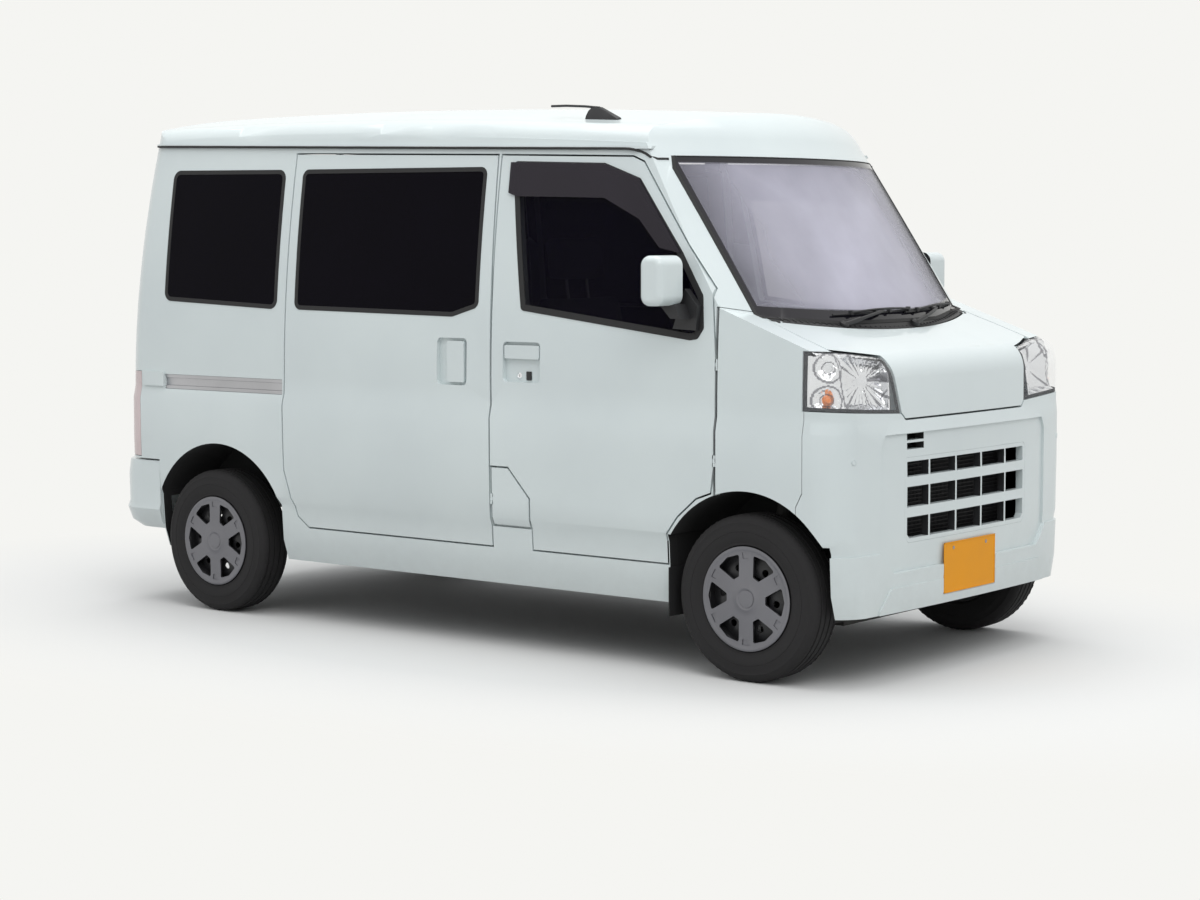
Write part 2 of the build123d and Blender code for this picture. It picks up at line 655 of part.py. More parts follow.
lid_pivot = (254.0, -734.0, 520.0)
leaf, fixed, pocket = pivot(lid_pivot, (0, 0, 1), (1, 0, 0), 1, fixed_web=False)
fuel_lid = (lid - pocket) + leaf
for z in (508, 532):
    fixed = fixed + block(250.5, 254.5, -734, -686, z - 6, z + 6)
side_frame_right = (side_frame_right - pocket) + fixed

# Mirrors, antenna, flaps, plates
mirror_left = flip(mirror_right)
antenna_base = block(490, 631, -512, -488, 1780, 1872) - outer_form
antenna_base = max(antenna_base.solids(), key=lambda solid: solid.center().Z)
antenna_rod = along(-500, 1866, 5, 330, 500)
roof_antenna = antenna_base + antenna_rod
front_flap = block(1004.3, 1008.3, -728, -600, 184, 345)
mud_flaps = both(front_flap)
plate_pocket = block(1694, 1700, -168, 168, 252, 424)
front_bumper = front_bumper - plate_pocket
front_plate = block(1694 + seat_gap, 1696, -165, 165, 255, 420)
rear_plate = block(-1659, -1657.3, -165, 165, 640, 805)
rear_wiper = block(-1664, -1654, -140, 300, 1190, 1204) + block(-1664, -1640, -150, -122, 1100, 1206)
rear_wiper = rear_wiper - outer_form

# Wheels, built on the axle line and turned to face outwards along -Y
def wheel_ring(points):
    with BuildSketch(Plane.YZ) as sketch:
        with BuildLine():
            Polyline(*points, close=True)
        make_face()
    return revolve(sketch.sketch, Axis.Y, 360)


half_tyre = tyre_width / 2
tyre = wheel_ring([
    (-57.1, rim_radius + 0.3), (-57.1, rim_flange_radius + 0.8), (-66, 176), (-half_tyre, 210), (-69, 248),
    (-58, tyre_radius - 5), (-44, tyre_radius), (44, tyre_radius), (58, tyre_radius - 5), (69, 248),
    (half_tyre, 210), (66, 176), (57.1, rim_flange_radius + 0.8), (57.1, rim_radius + 0.3),
])
bore = spindle_radius + running_clearance
rim = wheel_ring([
    (57.4, rim_radius), (57.4, rim_flange_radius), (63, rim_flange_radius), (63, 148), (-30, 146), (-30, 30),
    (10, 30), (10, bore), (-36, bore), (-36, 150), (-63, 150), (-63, rim_flange_radius), (-57.4, rim_flange_radius), (-57.4, rim_radius),
])
cover = wheel_ring([
    (-62.9, 151), (-64, cover_radius), (-70, cover_radius), (-72, 158), (-67, 150), (-67, 66), (-71.5, 60), (-71.5, 0),
    (-66, 0), (-66, 54), (-62, 62), (-62, 151),
])
window = Pos(0, -66, 0) * Rot(90, 0, 0) * extrude(make_face(FilletPolyline((-12, 72, 0), (12, 72, 0), (52, 134, 0), (0, 146, 0), (-52, 134, 0), radius=6, close=True)), 20, both=True)
for i in range(6):
    cover = cover - Rot(0, 30 + 60 * i, 0) * window
rim = rim + cover

# Steering knuckle of the right side; the steering line leans inwards
steer_low = Vector(front_axle_x, -600.0, 165.0)
steer_high = Vector(front_axle_x, -485.0, 640.0)
steer_line = (steer_high - steer_low).normalized()


def on_steer(z):
    t = (z - steer_low.Z) / steer_line.Z
    return steer_low + steer_line * t


def steer_rod(radius, z0, z1):
    a = on_steer(z0)
    b = on_steer(z1)
    return Plane(origin=(a + b) / 2, z_dir=steer_line) * Cylinder(radius, (b - a).length)


strut = steer_rod(22, 370, 590)
ball_pin = steer_rod(10, 140, 200)
upright_block = block(front_axle_x - 25, front_axle_x + 25, -616, -572, 180, 330)
upright_arm = block(front_axle_x - 22, front_axle_x + 22, -590, -540, 325, 375)
drum = across(front_axle_x, tyre_radius, 95, -618, -606)
spindle = across(front_axle_x, tyre_radius, spindle_radius, -684, -606)
knuckle_right = strut + ball_pin + upright_block + upright_arm + drum + spindle
knuckle_left = flip(knuckle_right)

# Front suspension
crossmember = block(1235, 1375, -260, 260, 130, 190)
arm_face = make_face(Polyline((1225, -255, 146), (1385, -255, 146), (1332, -600, 146), (1305, -622, 146), (1278, -600, 146), close=True))
arm = extrude(arm_face, amount=16, dir=(0, 0, 1))
arm = arm - steer_rod(10 + running_clearance, 100, 200)
front_suspension = crossmember + arm + flip(arm) + across(1190, 235, 22, -360, 360) + block(1180, 1240, -60, 60, 140, 235)
front_suspension = front_suspension + block(1290, 1320, -300, -240, 188, 399.7) + block(1290, 1320, 240, 300, 188, 399.7)

# Rear axle with leaf springs
with BuildSketch(Plane.XZ) as leaf_sketch:
    with BuildLine():
        ThreePointArc((-1600, 392), (rear_axle_x, 301), (-690, 392))
        Line((-690, 392), (-690, 408))
        ThreePointArc((-690, 408), (rear_axle_x, 317), (-1600, 408))
        Line((-1600, 408), (-1600, 392))
    make_face()
spring = Pos(0, -405, 0) * extrude(leaf_sketch.sketch, 50)
spring = Pos(0, -spring.center().Y - 430, 0) * spring
axle = across(rear_axle_x, tyre_radius, 36, -600, 600) + Pos(rear_axle_x, 0, tyre_radius) * Sphere(115)
axle = axle + across(rear_axle_x, tyre_radius, spindle_radius, -684, 684)
axle = axle + across(rear_axle_x, tyre_radius, 95, -618, -596) + across(rear_axle_x, tyre_radius, 95, 596, 618)
rear_axle = axle + spring + flip(spring)
nose_rail = block(1150, 1700, -380, -320, 350, 430) & floor_space
floor_pan = floor_pan + nose_rail + flip(nose_rail)
rails = block(-1612, -640, -460, -400, 440, 572)
rails = rails + (block(rear_x, -1600, -460, -400, 440, 550) & bumper_space)
hanger_rear = block(-1610, -1570, -455, -405, 408.3, 445)
hanger_front = block(-720, -680, -455, -405, 408.3, 445)
floor_pan = floor_pan + rails + flip(rails) + hanger_rear + flip(hanger_rear) + hanger_front + flip(hanger_front)
floor_pan = floor_pan + block(1290, 1320, -300, -240, 400, 530) + block(1290, 1320, 240, 300, 400, 530)

# Drive line, tank and exhaust
engine = block(300, 725, -240, 240, 290, 610 - seat_gap) + along(0, 330, 110, -60, 320)
propshaft = along(0, 300, 30, -1028, -60.3)
fuel_tank = fillet(block(-560, 160, -590, -120, 260, 569.7).edges().filter_by(Axis.X), 40)
exhaust = along(250, 330, 22, -700, 300 - seat_gap) + along(250, 330, 75, -560, -120)

# Seats, bench, dashboard and steering wheel
seat_profile = [(860, seat_box_z + seat_gap), (880, 700), (860, 750), (470, 735), (380, 1240), (360, 1420), (270, 1420), (300, 1220), (370, 700), (370, seat_box_z + seat_gap)]
seat = xz_prism(seat_profile, -590, -130)
front_seats = both(seat)
bench_profile = [(-280, load_floor_z + seat_gap), (-270, 760), (-700, 745), (-790, 1180), (-880, 1180), (-800, 700), (-800, load_floor_z + seat_gap)]
rear_bench = xz_prism(bench_profile, -560, 560)
dash_profile = [(1120, 760), (1070, 880), (1085, 985), (1180, 1030), (1359.7, 1060), (1344.1, 800), (1220, 760)]
dashboard = xz_prism(dash_profile, -600, 600) & floor_space
column_foot = Vector(1215.0, -350.0, 860.0)
column_head = Vector(1000.0, -350.0, 1045.0)
column_line = (column_head - column_foot).normalized()
column_plane = Plane(origin=column_head, z_dir=column_line)
column = Plane(origin=(column_foot + column_head) / 2, z_dir=column_line) * Cylinder(28, (column_head - column_foot).length - 30)
shaft = column_plane * Pos(0, 0, -20) * Cylinder(9, 50)
dashboard = dashboard + column + shaft
steering_wheel = column_plane * (
    Torus(178, 14) + Cylinder(34, 26) + Box(356, 30, 12) + Pos(0, 89, 0) * Box(30, 178, 12)
    - Pos(0, 0, -8) * Cylinder(9 + running_clearance, 44)
)

wheel_spots = {
    "front_right": (front_axle_x, -wheel_y, False), "front_left": (front_axle_x, wheel_y, True),
    "rear_right": (rear_axle_x, -wheel_y, False), "rear_left": (rear_axle_x, wheel_y, True),
}
nodes = {
    "roof": roof,
    "side_frame_right": side_frame_right,
    "side_frame_left": side_frame_left,
    "front_fenders": group(front_fenders),
    "front_bumper": front_bumper,
    "grille": grille,
    "rear_bumper": rear_bumper,
    "windscreen": windscreen,
    "cowl_panel": cowl_panel,
    "floor_pan": floor_pan,
    "engine": engine,
    "propshaft": propshaft,
    "fuel_tank": fuel_tank,
    "exhaust": exhaust,
    "rear_axle": rear_axle,
    "front_suspension": front_suspension,
    "dashboard": dashboard,
    "front_seats": group(front_seats),
    "rear_bench": rear_bench,
    "headlamps": group(headlamps),
    "headlamp_lenses": group(headlamp_lenses),
    "tail_lamps": group(tail_lamps),
    "sliding_door_right": sliding_right,
    "sliding_door_left": sliding_left,
    "side_glass": group(side_glass),
    "door_rails": group(door_rails),
    "mud_flaps": group(mud_flaps),
    "front_wipers": group(wipers),
    "front_plate": front_plate,
    "roof_antenna": roof_antenna,
    "bonnet": bonnet,
    "front_door_right": door_right,
    "front_door_left": door_left,
    "front_door_glass_right": front_door_pane,
    "front_door_glass_left": flip(front_door_pane),
    "door_mirror_right": mirror_right,
    "door_mirror_left": mirror_left,
    "rain_visor_right": visor,
    "rain_visor_left": flip(visor),
    "tailgate": tailgate,
    "tailgate_glass": tailgate_glass,
    "rear_plate": rear_plate,
    "rear_wiper": rear_wiper,
    "fuel_lid": fuel_lid,
    "knuckle_right": knuckle_right,
    "knuckle_left": knuckle_left,
    "steering_wheel": steering_wheel,
}
for place, (x, y, left) in wheel_spots.items():
    turn = Rot(0, 0, 180) if left else Rot(0, 0, 0)
    nodes["tyre_" + place] = Pos(x, y, tyre_radius) * turn * tyre
    nodes["rim_" + place] = Pos(x, y, tyre_radius) * turn * rim

for name, shape in nodes.items():
    export_step(shape, "parts/" + name + ".step")
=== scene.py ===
import bpy
import bmesh
import json
import math
from mathutils import Matrix, Vector


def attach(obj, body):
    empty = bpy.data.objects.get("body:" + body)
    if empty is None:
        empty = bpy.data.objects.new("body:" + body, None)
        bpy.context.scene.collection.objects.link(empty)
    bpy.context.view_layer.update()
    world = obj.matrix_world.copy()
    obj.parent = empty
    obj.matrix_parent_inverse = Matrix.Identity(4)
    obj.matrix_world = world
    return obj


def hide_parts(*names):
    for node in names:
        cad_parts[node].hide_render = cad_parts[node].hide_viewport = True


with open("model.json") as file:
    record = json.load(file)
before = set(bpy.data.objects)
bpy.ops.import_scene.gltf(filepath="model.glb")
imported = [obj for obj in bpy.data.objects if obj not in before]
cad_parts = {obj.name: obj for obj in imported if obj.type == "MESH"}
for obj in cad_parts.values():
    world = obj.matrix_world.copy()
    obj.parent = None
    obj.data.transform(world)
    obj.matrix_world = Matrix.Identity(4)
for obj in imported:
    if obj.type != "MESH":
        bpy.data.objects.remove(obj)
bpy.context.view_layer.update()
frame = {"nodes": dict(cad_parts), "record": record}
scene = bpy.context.scene
print("frame loaded")

# one long lens, low at the front right corner; metres, degrees and millimetres
cameraPlace = {
    "x": 5.67376, "y": -6.94922, "z": 1.40582, "yaw": 128.5092, "pitch": -4.99638, "roll": -0.15209,
    "lens": 72.807, "sensor": 36, "farEnd": 200,
}


def addPiece(name, data):
    piece = bpy.data.objects.new(name, data)
    scene.collection.objects.link(piece)
    return piece


def makeCamera(c):
    yaw, pitch, roll = (math.radians(c[k]) for k in ("yaw", "pitch", "roll"))
    ahead = Vector((math.cos(pitch) * math.cos(yaw), math.cos(pitch) * math.sin(yaw), math.sin(pitch)))
    side = ahead.cross(Vector((0, 0, 1))).normalized()
    top = side.cross(ahead)
    right = side * math.cos(roll) + top * math.sin(roll)
    up = top * math.cos(roll) - side * math.sin(roll)
    data = bpy.data.cameras.new("camera")
    data.lens = c["lens"]
    data.sensor_width = c["sensor"]
    data.clip_end = c["farEnd"]
    cam = addPiece("camera", data)
    place = Matrix((right, up, -ahead)).transposed().to_4x4()
    place.translation = Vector((c["x"], c["y"], c["z"]))
    cam.matrix_world = place
    scene.camera = cam


makeCamera(cameraPlace)


# material nodes
def plug(tree, socket, value):
    if hasattr(value, "links"):
        tree.links.new(value, socket)
    elif socket.type == "RGBA":
        socket.default_value = (*value, 1)
    else:
        socket.default_value = value


def feed(tree, node, values):
    for name, value in values.items():
        plug(tree, node.inputs[name], value)
    return node


def nodeOf(tree, kind, values={}, **settings):
    node = tree.nodes.new(kind)
    for name, value in settings.items():
        setattr(node, name, value)
    return feed(tree, node, values)


def newMaterial(name):
    mat = bpy.data.materials.new(name)
    mat.use_nodes = True
    tree = mat.node_tree
    shader = next(n for n in tree.nodes if n.type == "BSDF_PRINCIPLED")
    return mat, tree, shader


def objectCoords(tree, scale=(1, 1, 1)):
    coord = nodeOf(tree, "ShaderNodeTexCoord")
    mapping = nodeOf(tree, "ShaderNodeMapping", {"Scale": scale, "Vector": coord.outputs["Object"]})
    return mapping.outputs["Vector"]


def axesOf(tree, vector):
    split = nodeOf(tree, "ShaderNodeSeparateXYZ", {0: vector})
    return split.outputs["X"], split.outputs["Y"], split.outputs["Z"]


def noiseOf(tree, vector, scale, detail=3.0, rough=0.5):
    values = {"Scale": scale, "Detail": detail, "Roughness": rough, "Vector": vector}
    return nodeOf(tree, "ShaderNodeTexNoise", values).outputs["Fac"]


def rampOf(tree, value, stops):
    node = nodeOf(tree, "ShaderNodeValToRGB", {"Fac": value})
    ramp = node.color_ramp
    while len(ramp.elements) < len(stops):
        ramp.elements.new(0.5)
    for element, (place, colour) in zip(ramp.elements, stops):
        element.position = place
        element.color = (*colour, 1)
    return node.outputs["Color"]


def mixColours(tree, factor, a, b):
    node = nodeOf(tree, "ShaderNodeMix", {"Factor": factor}, data_type="RGBA")
    sockets = [s for s in node.inputs if s.type == "RGBA"]
    plug(tree, sockets[0], a)
    plug(tree, sockets[1], b)
    return next(s for s in node.outputs if s.type == "RGBA")


def mathOf(tree, kind, a, b=0.5, clamp=False):
    return nodeOf(tree, "ShaderNodeMath", {0: a, 1: b}, operation=kind, use_clamp=clamp).outputs[0]


def times(tree, a, b, clamp=False):
    return mathOf(tree, "MULTIPLY", a, b, clamp)


def plus(tree, a, b):
    return mathOf(tree, "ADD", a, b)


def minus(tree, a, b):
    return mathOf(tree, "SUBTRACT", a, b)


def larger(tree, a, b):
    return mathOf(tree, "MAXIMUM", a, b)


def bumpOf(tree, shader, height, strength, distance=0.001):
    bump = nodeOf(tree, "ShaderNodeBump", {"Strength": strength, "Distance": distance, "Height": height})
    plug(tree, shader.inputs["Normal"], bump.outputs["Normal"])


def srgb(r, g, b):
    return tuple(((v / 255 + 0.055) / 1.055) ** 2.4 if v > 10 else v / 255 / 12.92 for v in (r, g, b))


# body paint: slow change of tone, with road dust near the ground
paintLook = {
    "light": (217, 226, 226), "shade": (208, 217, 218), "tone": 1.6,
    "dirt": (126, 118, 106), "dirtTop": 0.52, "dirtRise": 1.8, "dust": 0.3, "grain": 24,
    "rough": 0.26, "roughVary": 0.12, "coat": 0.5, "coatRough": 0.06, "peel": 420, "peelDeep": 0.04,
}


def paintMaterial(name, s):
    mat, tree, shader = newMaterial(name)
    vector = objectCoords(tree)
    tone = noiseOf(tree, vector, s["tone"], 4)
    colour = rampOf(tree, tone, [(0.3, srgb(*s["shade"])), (0.7, srgb(*s["light"]))])
    low = times(tree, minus(tree, s["dirtTop"], axesOf(tree, vector)[2]), s["dirtRise"], True)
    grain = noiseOf(tree, vector, s["grain"], 6, 0.65)
    dirt = times(tree, times(tree, low, grain), s["dust"], True)
    rough = plus(tree, times(tree, grain, s["roughVary"]), s["rough"])
    feed(tree, shader, {
        "Base Color": mixColours(tree, dirt, colour, srgb(*s["dirt"])), "Roughness": plus(tree, rough, dirt),
        "Coat Weight": s["coat"], "Coat Roughness": s["coatRough"],
    })
    bumpOf(tree, shader, noiseOf(tree, vector, s["peel"], 2), s["peelDeep"], 0.0003)
    return mat


def plasticMaterial(name, colour, rough=0.5, grain=600, strength=0.25, vary=0.25, gloss=0.5, metal=0.0):
    mat, tree, shader = newMaterial(name)
    vector = objectCoords(tree)
    tone = noiseOf(tree, vector, 6, 5)
    dark = tuple(c * (1 - vary) for c in colour)
    feed(tree, shader, {
        "Base Color": rampOf(tree, tone, [(0.3, dark), (0.7, colour)]), "Metallic": metal,
        "Roughness": plus(tree, times(tree, tone, 0.2), rough - 0.1), "Specular IOR Level": gloss,
    })
    bumpOf(tree, shader, noiseOf(tree, vector, grain, 2), strength, 0.0004)
    return mat


def metalMaterial(name, colour, rough=0.35, grain=90, strength=0.15):
    return plasticMaterial(name, colour, rough, grain, strength, 0.15, 0.5, 1.0)


def glassMaterial(name, colour, alpha, rough=0.03, dustFilmAndReflection=0.05, gloss=0.4):
    mat, tree, shader = newMaterial(name)
    vector = objectCoords(tree)
    tone = noiseOf(tree, vector, 3, 4)
    lighter = tuple(min(1, c * 1.2) for c in colour)
    feed(tree, shader, {
        "Base Color": rampOf(tree, tone, [(0.35, colour), (0.65, lighter)]), "Alpha": alpha, "IOR": 1.5,
        "Roughness": plus(tree, times(tree, noiseOf(tree, vector, 40, 6), dustFilmAndReflection), rough),
        "Specular IOR Level": gloss,
    })
    return mat


# woven seat cloth: threads across each other, flecked, with a soft sheen
clothLook = {
    "light": (0.13, 0.135, 0.145), "dark": (0.05, 0.052, 0.058), "thread": 0.0016, "fleck": 340, "wear": 7,
    "fade": 0.45, "rough": 0.92, "gloss": 0.2, "sheen": 0.25, "sheenRough": 0.5, "deep": 0.0008,
}


def clothMaterial(name, s):
    mat, tree, shader = newMaterial(name)
    vector = objectCoords(tree)
    values = {"Scale": 0.314 / s["thread"], "Distortion": 0.6, "Detail": 1.0, "Vector": vector}
    x, y, z = (
        nodeOf(tree, "ShaderNodeTexWave", values, bands_direction=way).outputs["Fac"] for way in ("X", "Y", "Z")
    )
    weave = times(tree, plus(tree, x, z), y)
    fleck = noiseOf(tree, vector, s["fleck"], 2)
    wear = noiseOf(tree, vector, s["wear"], 5)
    colour = rampOf(tree, fleck, [(0.42, s["dark"]), (0.60, s["light"])])
    faded = tuple(0.6 * (a + b) for a, b in zip(s["light"], s["dark"]))
    feed(tree, shader, {
        "Base Color": mixColours(tree, times(tree, wear, s["fade"]), colour, faded), "Roughness": s["rough"],
        "Specular IOR Level": s["gloss"], "Sheen Weight": s["sheen"], "Sheen Roughness": s["sheenRough"],
    })
    bumpOf(tree, shader, plus(tree, weave, times(tree, wear, 0.8)), 0.5, s["deep"])
    return mat


# laminated screen: a pale painted reflection of the sky, fainter towards the sides and the top, with the black
# ceramic border printed round its edge
screenSizes = {
    "sideY": 0.586, "top": 1.645, "bottom": 1.168, "bow": 0.075, "soft": 0.006,
    "ink": (0.012, 0.011, 0.016), "dustFilmAndReflection": (212, 210, 226), "reflectionLeast": 0.50, "reflectionVary": 0.3,
    "reflectionFadeY": 0.20, "reflectionFadeRise": 2.4, "reflectionTopZ": 1.50, "reflectionTopRise": 3.5, "reflectionThin": 0.80,
}


def screenMaterial(name, s):
    mat, tree, shader = newMaterial(name)
    vector = objectCoords(tree)
    y, z = axesOf(tree, vector)[1:]
    across = mathOf(tree, "ABSOLUTE", y, 0)
    low = plus(tree, times(tree, times(tree, y, y), s["bow"]), s["bottom"])
    side, top, bottom = (
        mathOf(tree, "DIVIDE", minus(tree, *pair), s["soft"], True)
        for pair in ((across, s["sideY"]), (z, s["top"]), (low, z))
    )
    border = larger(tree, side, larger(tree, top, bottom))
    # painted reflection: a pale colour laid over the glass, its strength set by noise and thinned towards the sides
    # and the top
    reflectionColour = srgb(*s["dustFilmAndReflection"])
    colour = rampOf(tree, noiseOf(tree, vector, 2.2, 4), [(0.3, tuple(c * 0.8 for c in reflectionColour)), (0.7, reflectionColour)])
    dustFilmAndReflection = plus(tree, times(tree, noiseOf(tree, vector, 5, 5), s["reflectionVary"]), s["reflectionLeast"])
    edge = times(tree, minus(tree, across, s["reflectionFadeY"]), s["reflectionFadeRise"], True)
    reflectionTop = times(tree, minus(tree, z, s["reflectionTopZ"]), s["reflectionTopRise"], True)
    left = minus(tree, 1.0, times(tree, larger(tree, edge, reflectionTop), s["reflectionThin"]))
    # printed black border, and the painted reflection everywhere else
    feed(tree, shader, {
        "Base Color": mixColours(tree, border, colour, s["ink"]), "Roughness": 0.04, "IOR": 1.5,
        "Alpha": larger(tree, border, times(tree, dustFilmAndReflection, left)),
    })
    return mat


# colour, roughness, grain, bump, change of tone, gloss
plastics = {
    "headliner": (srgb(176, 174, 170), 0.9, 900, 0.5, 0.1),
    "trimGrey": (srgb(84, 84, 88), 0.7, 700, 0.4, 0.15),
    "underseal": ((0.012, 0.012, 0.013), 0.85, 240, 0.6, 0.3),
    "floorMat": ((0.045, 0.045, 0.048), 0.9, 500, 0.7, 0.3),
    "blackPlastic": ((0.02, 0.02, 0.022), 0.5),
    "blackGloss": ((0.01, 0.01, 0.012), 0.2, 60, 0.05),
    "tyreRubber": ((0.024, 0.023, 0.024), 0.85, 300, 0.4, 0.25, 0.35),
    "wheelBlack": ((0.016, 0.016, 0.018), 0.45, 120, 0.3),
    "lampBezel": ((0.008, 0.008, 0.009), 0.6, 300, 0.2, 0.25, 0.15),
    "castIron": ((0.05, 0.048, 0.045), 0.7, 160, 0.5),
    "rubber": ((0.016, 0.016, 0.017), 0.7),
    "plateYellow": (srgb(240, 160, 24), 0.5, 200, 0.1, 0.06, 0.25),
}
# colour, roughness, grain, bump
metals = {
    "wheelSilver": (srgb(126, 126, 131), 0.42),
    "chrome": ((0.85, 0.86, 0.88), 0.12, 30, 0.03),
    # chromeShade is darker chrome for the painted dark reflections in the lamp reflector
    "chromeShade": ((0.30, 0.30, 0.32), 0.25, 60, 0.1),
    "steel": ((0.35, 0.35, 0.36), 0.45),
    "railSilver": ((0.50, 0.50, 0.52), 0.35),
}
# colour, cover, roughness, film of dust, gloss
glasses = {
    "smoked": (srgb(36, 31, 40), 0.9, 0.12, 0.05, 0.3),
    "doorGlass": (srgb(6, 4, 16), 0.62, 0.03, 0.05, 0.05),
    "privacyGlass": (srgb(6, 4, 12), 0.95, 0.03, 0.05, 0.05),
    "lampClear": ((0.85, 0.88, 0.92), 0.06, 0.02, 0.02, 0.2),
    "amber": ((0.9, 0.25, 0.04), 0.9, 0.1),
    "lampRed": ((0.35, 0.01, 0.012), 0.92, 0.1),
    "lampPale": (srgb(206, 190, 190), 0.95, 0.1),
}
fullNames = {"smoked": "smokedVisor", "steel": "plainSteel", "rubber": "softRubber", "amber": "amberBulb"}
finishes = {
    "paint": paintMaterial("palePaint", paintLook), "seatCloth": clothMaterial("seatCloth", clothLook),
    "windscreenGlass": screenMaterial("windscreenGlass", screenSizes),
}
for make, looks in ((plasticMaterial, plastics), (metalMaterial, metals), (glassMaterial, glasses)):
    for name, look in looks.items():
        finishes[name] = make(fullNames.get(name, name), *look)

slotFinish = {
    "paint": "paint", "inner_metal": "underseal", "black_plastic": "blackPlastic", "grille_plastic": "paint",
    "clear_glass": "windscreenGlass", "privacy_glass": "privacyGlass", "tail_lamp": "lampRed",
    "steel": "steel", "cast": "castIron", "rubber": "rubber", "plate": "plateYellow", "rail": "railSilver",
    "smoked_plastic": "smoked",
}
nodeSlot = {s["node"]: s["material_slot"] for s in frame["record"]["subparts"]}
nodeBody = {n: b for b, nodes in frame["record"]["behaviour"]["bodies"].items() for n in nodes}
print("materials made")

# where one finish of a panel ends and the next begins, metres
arches = [{"x": 1.305, "z": 0.268, "radius": 0.343}, {"x": -1.110, "z": 0.278, "radius": 0.362}]
archSizes = {"lap": 0.012, "outerY": 0.7405, "innerY": 0.30, "low": 0.12, "high": 0.66}
panelSizes = {
    "roofSealY": 0.625, "roofTop": 1.80, "roofLean": 0.1,
    "trimY": 0.703, "waist": 0.84, "trimLean": 0.085,
    "slotX": 1.60, "slotY": (-0.385, -0.265), "slotZ": (0.73, 0.795),
    "grilleEndY": 0.36, "grooveY": 0.7168, "grooveZ": (0.847, 0.881), "railFoot": 0.8375,
    "floorY": 0.70, "floorZ": 0.35, "tailLampX": -1.618,
    "behind": -0.3, "across": 0.5, "slotAhead": 0.6, "roofUnder": -0.25, "trimIn": -0.35, "inwards": 0.4,
    "mirrorArmY": 0.775, "mirrorArmZ": 1.191, "mirrorBack": 1.0, "mirrorRim": 1.012, "mirrorGlass": 0.998,
}


# which finish each face of a body panel takes
def archFace(centre, normal):
    a = archSizes
    if not a["innerY"] <= abs(centre.y) <= a["outerY"] or not a["low"] <= centre.z <= a["high"]:
        return False
    if abs(normal.y) > panelSizes["across"]:
        return False
    for arch in arches:
        away = Vector((centre.x - arch["x"], 0, centre.z - arch["z"]))
        if away.length < arch["radius"] + a["lap"] and normal.dot(away) < 0:
            return True
    return False


# side walls of the small slots in the bumper
def slotWall(centre, normal, s=panelSizes):
    if centre.x < s["slotX"] or abs(normal.x) > s["slotAhead"] or abs(normal.y) < s["across"]:
        return False
    return s["slotY"][0] < centre.y < s["slotY"][1] and s["slotZ"][0] < centre.z < s["slotZ"][1]


def grilleFace(node, centre, normal, s=panelSizes):
    side = abs(normal.y) > s["across"] and abs(centre.y) < s["grilleEndY"]
    return "blackPlastic" if normal.x < s["behind"] or side else "paint"


# silver channel with a dark groove
def railFace(node, centre, normal, s=panelSizes):
    groove = abs(centre.y) < s["grooveY"] and s["grooveZ"][0] < centre.z < s["grooveZ"][1]
    return "blackPlastic" if groove or centre.z < s["railFoot"] else "railSilver"


def panelFace(node, centre, normal, s=panelSizes):
    side = -1 if centre.y < 0 else 1
    if archFace(centre, normal):
        return "underseal"
    if node == "roof" and normal.z < s["roofUnder"]:
        edge = abs(centre.y) > s["roofSealY"] + (s["roofTop"] - centre.z) * s["roofLean"]
        return "rubber" if edge else "headliner"
    if node.startswith(("side_frame", "sliding_door", "front_door")):
        deep = abs(centre.y) < s["trimY"] - max(0, centre.z - s["waist"]) * s["trimLean"]
        return "trimGrey" if normal.y * side < s["trimIn"] and deep else "paint"
    if node in ("front_fenders", "front_bumper", "bonnet"):
        return "underseal" if normal.x < s["behind"] or slotWall(centre, normal) else "paint"
    if node == "tailgate":
        return "trimGrey" if normal.x > s["inwards"] else "paint"
    return "paint"


def floorFace(node, centre, normal, s=panelSizes):
    inside = normal.z > s["inwards"] and abs(centre.y) < s["floorY"] and centre.z > s["floorZ"]
    return "floorMat" if inside else "underseal"


def lampFace(node, centre, normal):
    return "lampPale" if centre.x > panelSizes["tailLampX"] else "lampRed"


# body-coloured cap, black foot and frame, mirror glass
def mirrorFace(node, centre, normal, s=panelSizes):
    if abs(centre.y) < s["mirrorArmY"] or centre.z < s["mirrorArmZ"]:
        return "blackPlastic"
    if centre.x < s["mirrorBack"] or (centre.x < s["mirrorRim"] and normal.x < -0.5):
        return "chrome" if centre.x > s["mirrorGlass"] and normal.x < -0.9 else "blackPlastic"
    return "paint"


panels = (
    "roof", "side_frame_right", "side_frame_left", "front_fenders", "front_bumper", "bonnet", "tailgate",
    "sliding_door_right", "sliding_door_left", "front_door_right", "front_door_left",
)
panelRules = {node: panelFace for node in panels}
panelRules.update({
    "floor_pan": floorFace, "tail_lamps": lampFace, "grille": grilleFace, "door_rails": railFace,
    "door_mirror_right": mirrorFace, "door_mirror_left": mirrorFace,
})
nodeFinish = {
    "front_door_glass_right": "doorGlass", "front_door_glass_left": "doorGlass", "headlamp_lenses": "lampClear",
}


def declare(piece, body, nodes=()):
    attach(piece, body)
    if nodes:
        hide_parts(*nodes)
    return piece


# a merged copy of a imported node, with smooth faces, crisp edges and its finishes
skinSizes = {"merge": 0.00002, "sliver": 0.00001, "smooth": 28, "edge": 0.0012, "sharp": 40}


def crispEdges(bm, angle):
    limit = math.radians(angle)
    for e in bm.edges:
        e.smooth = not (len(e.link_faces) == 2 and e.calc_face_angle(0) > limit)


def easeEdges(piece, width, segments, angle, harden=True):
    edge = piece.modifiers.new("edge", "BEVEL")
    edge.width = width
    edge.segments = segments
    edge.limit_method = "ANGLE"
    edge.angle_limit = math.radians(angle)
    edge.harden_normals = harden


